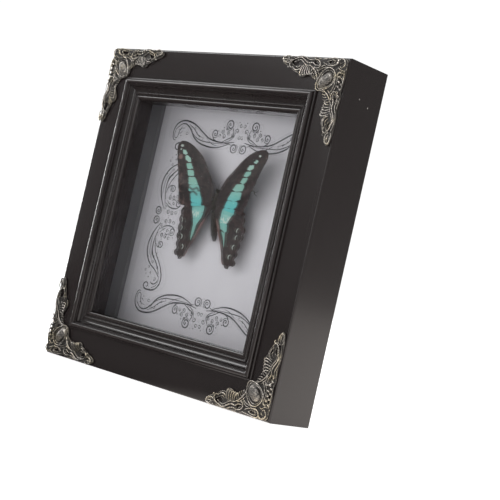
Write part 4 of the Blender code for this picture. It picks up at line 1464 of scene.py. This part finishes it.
def area_light(name, place, size, power):
    """A soft light, wide and tall by its size, that looks at the middle of the frame."""
    data = bpy.data.lights.new(name, "AREA")
    data.shape = "RECTANGLE"
    data.size, data.size_y = size
    data.energy = power
    obj = linked(name, data)
    obj.location = place
    obj.rotation_euler = (Vector(LIGHTS_LOOK_AT) - Vector(place)).to_track_quat("-Z", "Y").to_euler()
    return obj


def floor_finish(colour):
    """A pale floor that glows, with a dark mirror image in front of the frame and a bright one behind."""
    finish = Finish("studio_floor", Specular_IOR_Level=0.2, Emission_Strength=1.5)
    mottle = finish.grain(finish.place(), 3.0, 2.0)
    shade = finish.mixed(mottle, colour, shaded(colour, 0.985))
    path = finish.node("LightPath")
    spot = finish.node("SeparateXYZ", None, {"Vector": finish.node("TexCoord").outputs["Object"]})
    across = Number(finish.tree, spot.outputs["X"]) + Number(finish.tree, spot.outputs["Y"])
    behind = finish.step(across, *BEHIND_FRAME)
    seen = Number(finish.tree, path.outputs["Is Camera Ray"])
    gloss = Number(finish.tree, path.outputs["Is Glossy Ray"])
    glow = seen * FLOOR_SEEN + gloss * (FLOOR_MIRRORED + behind * FLOOR_BEHIND)
    glow = glow + (1 - seen - gloss) * FLOOR_LIGHT
    shade = finish.mixed(gloss * (1 - behind) * 0.95, shade, (0, 0, 0))
    tint = finish.mixed(gloss, (1, 1, 1), MIRRORED_FLOOR_TINT)
    light = finish.mixed(glow.clamped(), (0, 0, 0), tint)
    return finish.give(Base_Color=shade, Roughness=0.7 + mottle * 0.05, Emission_Color=light)


def studio_world(settings):
    """Even light all round, white to the camera and dim in gloss."""
    world = bpy.data.worlds.new("studio")
    world.use_nodes = True
    tree = world.node_tree
    background = tree.nodes["Background"]
    background.inputs["Color"].default_value = (1, 1, 1, 1)
    path = tree.nodes.new("ShaderNodeLightPath")
    seen = Number(tree, path.outputs["Is Camera Ray"])
    gloss = Number(tree, path.outputs["Is Glossy Ray"])
    strength = seen * SKY_SEEN + gloss * settings.gloss_ambient + (1 - seen - gloss) * settings.ambient
    tree.links.new(strength.socket, background.inputs["Strength"])
    return world


def photo_camera():
    """The photograph's camera."""
    data = bpy.data.cameras.new("camera")
    data.sensor_width = SENSOR_WIDTH
    data.lens = CAMERA_LENS
    data.clip_start = 0.01
    data.clip_end = 60.0
    camera = linked("camera", data)
    turn = Matrix((CAMERA_RIGHT, CAMERA_UP, CAMERA_BACK)).transposed().to_4x4()
    camera.matrix_world = Matrix.Translation(CAMERA_PLACE) @ turn
    return camera


class SPECIMEN_OT_stage(bpy.types.Operator):
    """Make the pale floor, the soft lights and the camera"""

    bl_idname = "specimen.stage"
    bl_label = "Stage"
    bl_options = {"REGISTER", "UNDO"}

    def execute(self, context):
        settings = context.scene.specimen_stage
        bpy.ops.object.select_all(action="DESELECT")
        bpy.ops.mesh.primitive_circle_add(
            vertices=128, radius=FLOOR_RADIUS, fill_type="NGON", location=(0, 0, -FLOOR_DROP),
        )
        floor = bpy.context.object
        floor.name = "studio_floor"
        floor.data.materials.append(floor_finish(settings.floor))
        area_light(*KEY_LIGHT, settings.key_power).visible_glossy = False
        area_light(*FILL_LIGHT, settings.fill_power)
        for name, place, size, share in GLOSS_LIGHTS:
            area_light(name, place, size, settings.gloss_power * share).visible_diffuse = False
        context.scene.world = studio_world(settings)
        context.scene.view_settings.view_transform = "Standard"
        context.scene.view_settings.look = "None"
        context.scene.camera = photo_camera()
        return {"FINISHED"}


class SPECIMEN_PT_panel(bpy.types.Panel):
    """Lists the settings and the steps"""

    bl_idname = "SPECIMEN_PT_panel"
    bl_label = "Framed Butterfly"
    bl_space_type = "VIEW_3D"
    bl_region_type = "UI"
    bl_category = "Specimen"

    def draw(self, context):
        layout = self.layout
        for attribute, group in SETTINGS:
            box = layout.box()
            box.label(text=group.__doc__)
            for field in group.__annotations__:
                box.prop(getattr(context.scene, attribute), field)
        for operator in OPERATORS:
            layout.operator(operator.bl_idname)


SETTINGS = (
    ("specimen_frame", FrameSettings),
    ("specimen_box", BoxSettings),
    ("specimen_insect", InsectSettings),
    ("specimen_stage", StageSettings),
)
OPERATORS = (
    SPECIMEN_OT_moulding,
    SPECIMEN_OT_castings,
    SPECIMEN_OT_box_lining,
    SPECIMEN_OT_wings,
    SPECIMEN_OT_body,
    SPECIMEN_OT_back,
    SPECIMEN_OT_stage,
)


def register():
    """Register the classes and hang the settings on the scene."""
    for attribute, group in SETTINGS:
        bpy.utils.register_class(group)
        setattr(bpy.types.Scene, attribute, bpy.props.PointerProperty(type=group))
    for operator in OPERATORS:
        bpy.utils.register_class(operator)
    bpy.utils.register_class(SPECIMEN_PT_panel)


def unregister():
    """Take the classes and the settings away again."""
    bpy.utils.unregister_class(SPECIMEN_PT_panel)
    for operator in reversed(OPERATORS):
        bpy.utils.unregister_class(operator)
    for attribute, group in reversed(SETTINGS):
        delattr(bpy.types.Scene, attribute)
        bpy.utils.unregister_class(group)


def main():
    """Make every piece and the stage."""
    register()
    bpy.ops.specimen.moulding()
    bpy.ops.specimen.castings()
    bpy.ops.specimen.box_lining()
    bpy.ops.specimen.wings()
    bpy.ops.specimen.body()
    bpy.ops.specimen.back()
    bpy.ops.specimen.stage()


if __name__ == "__main__":
    main()
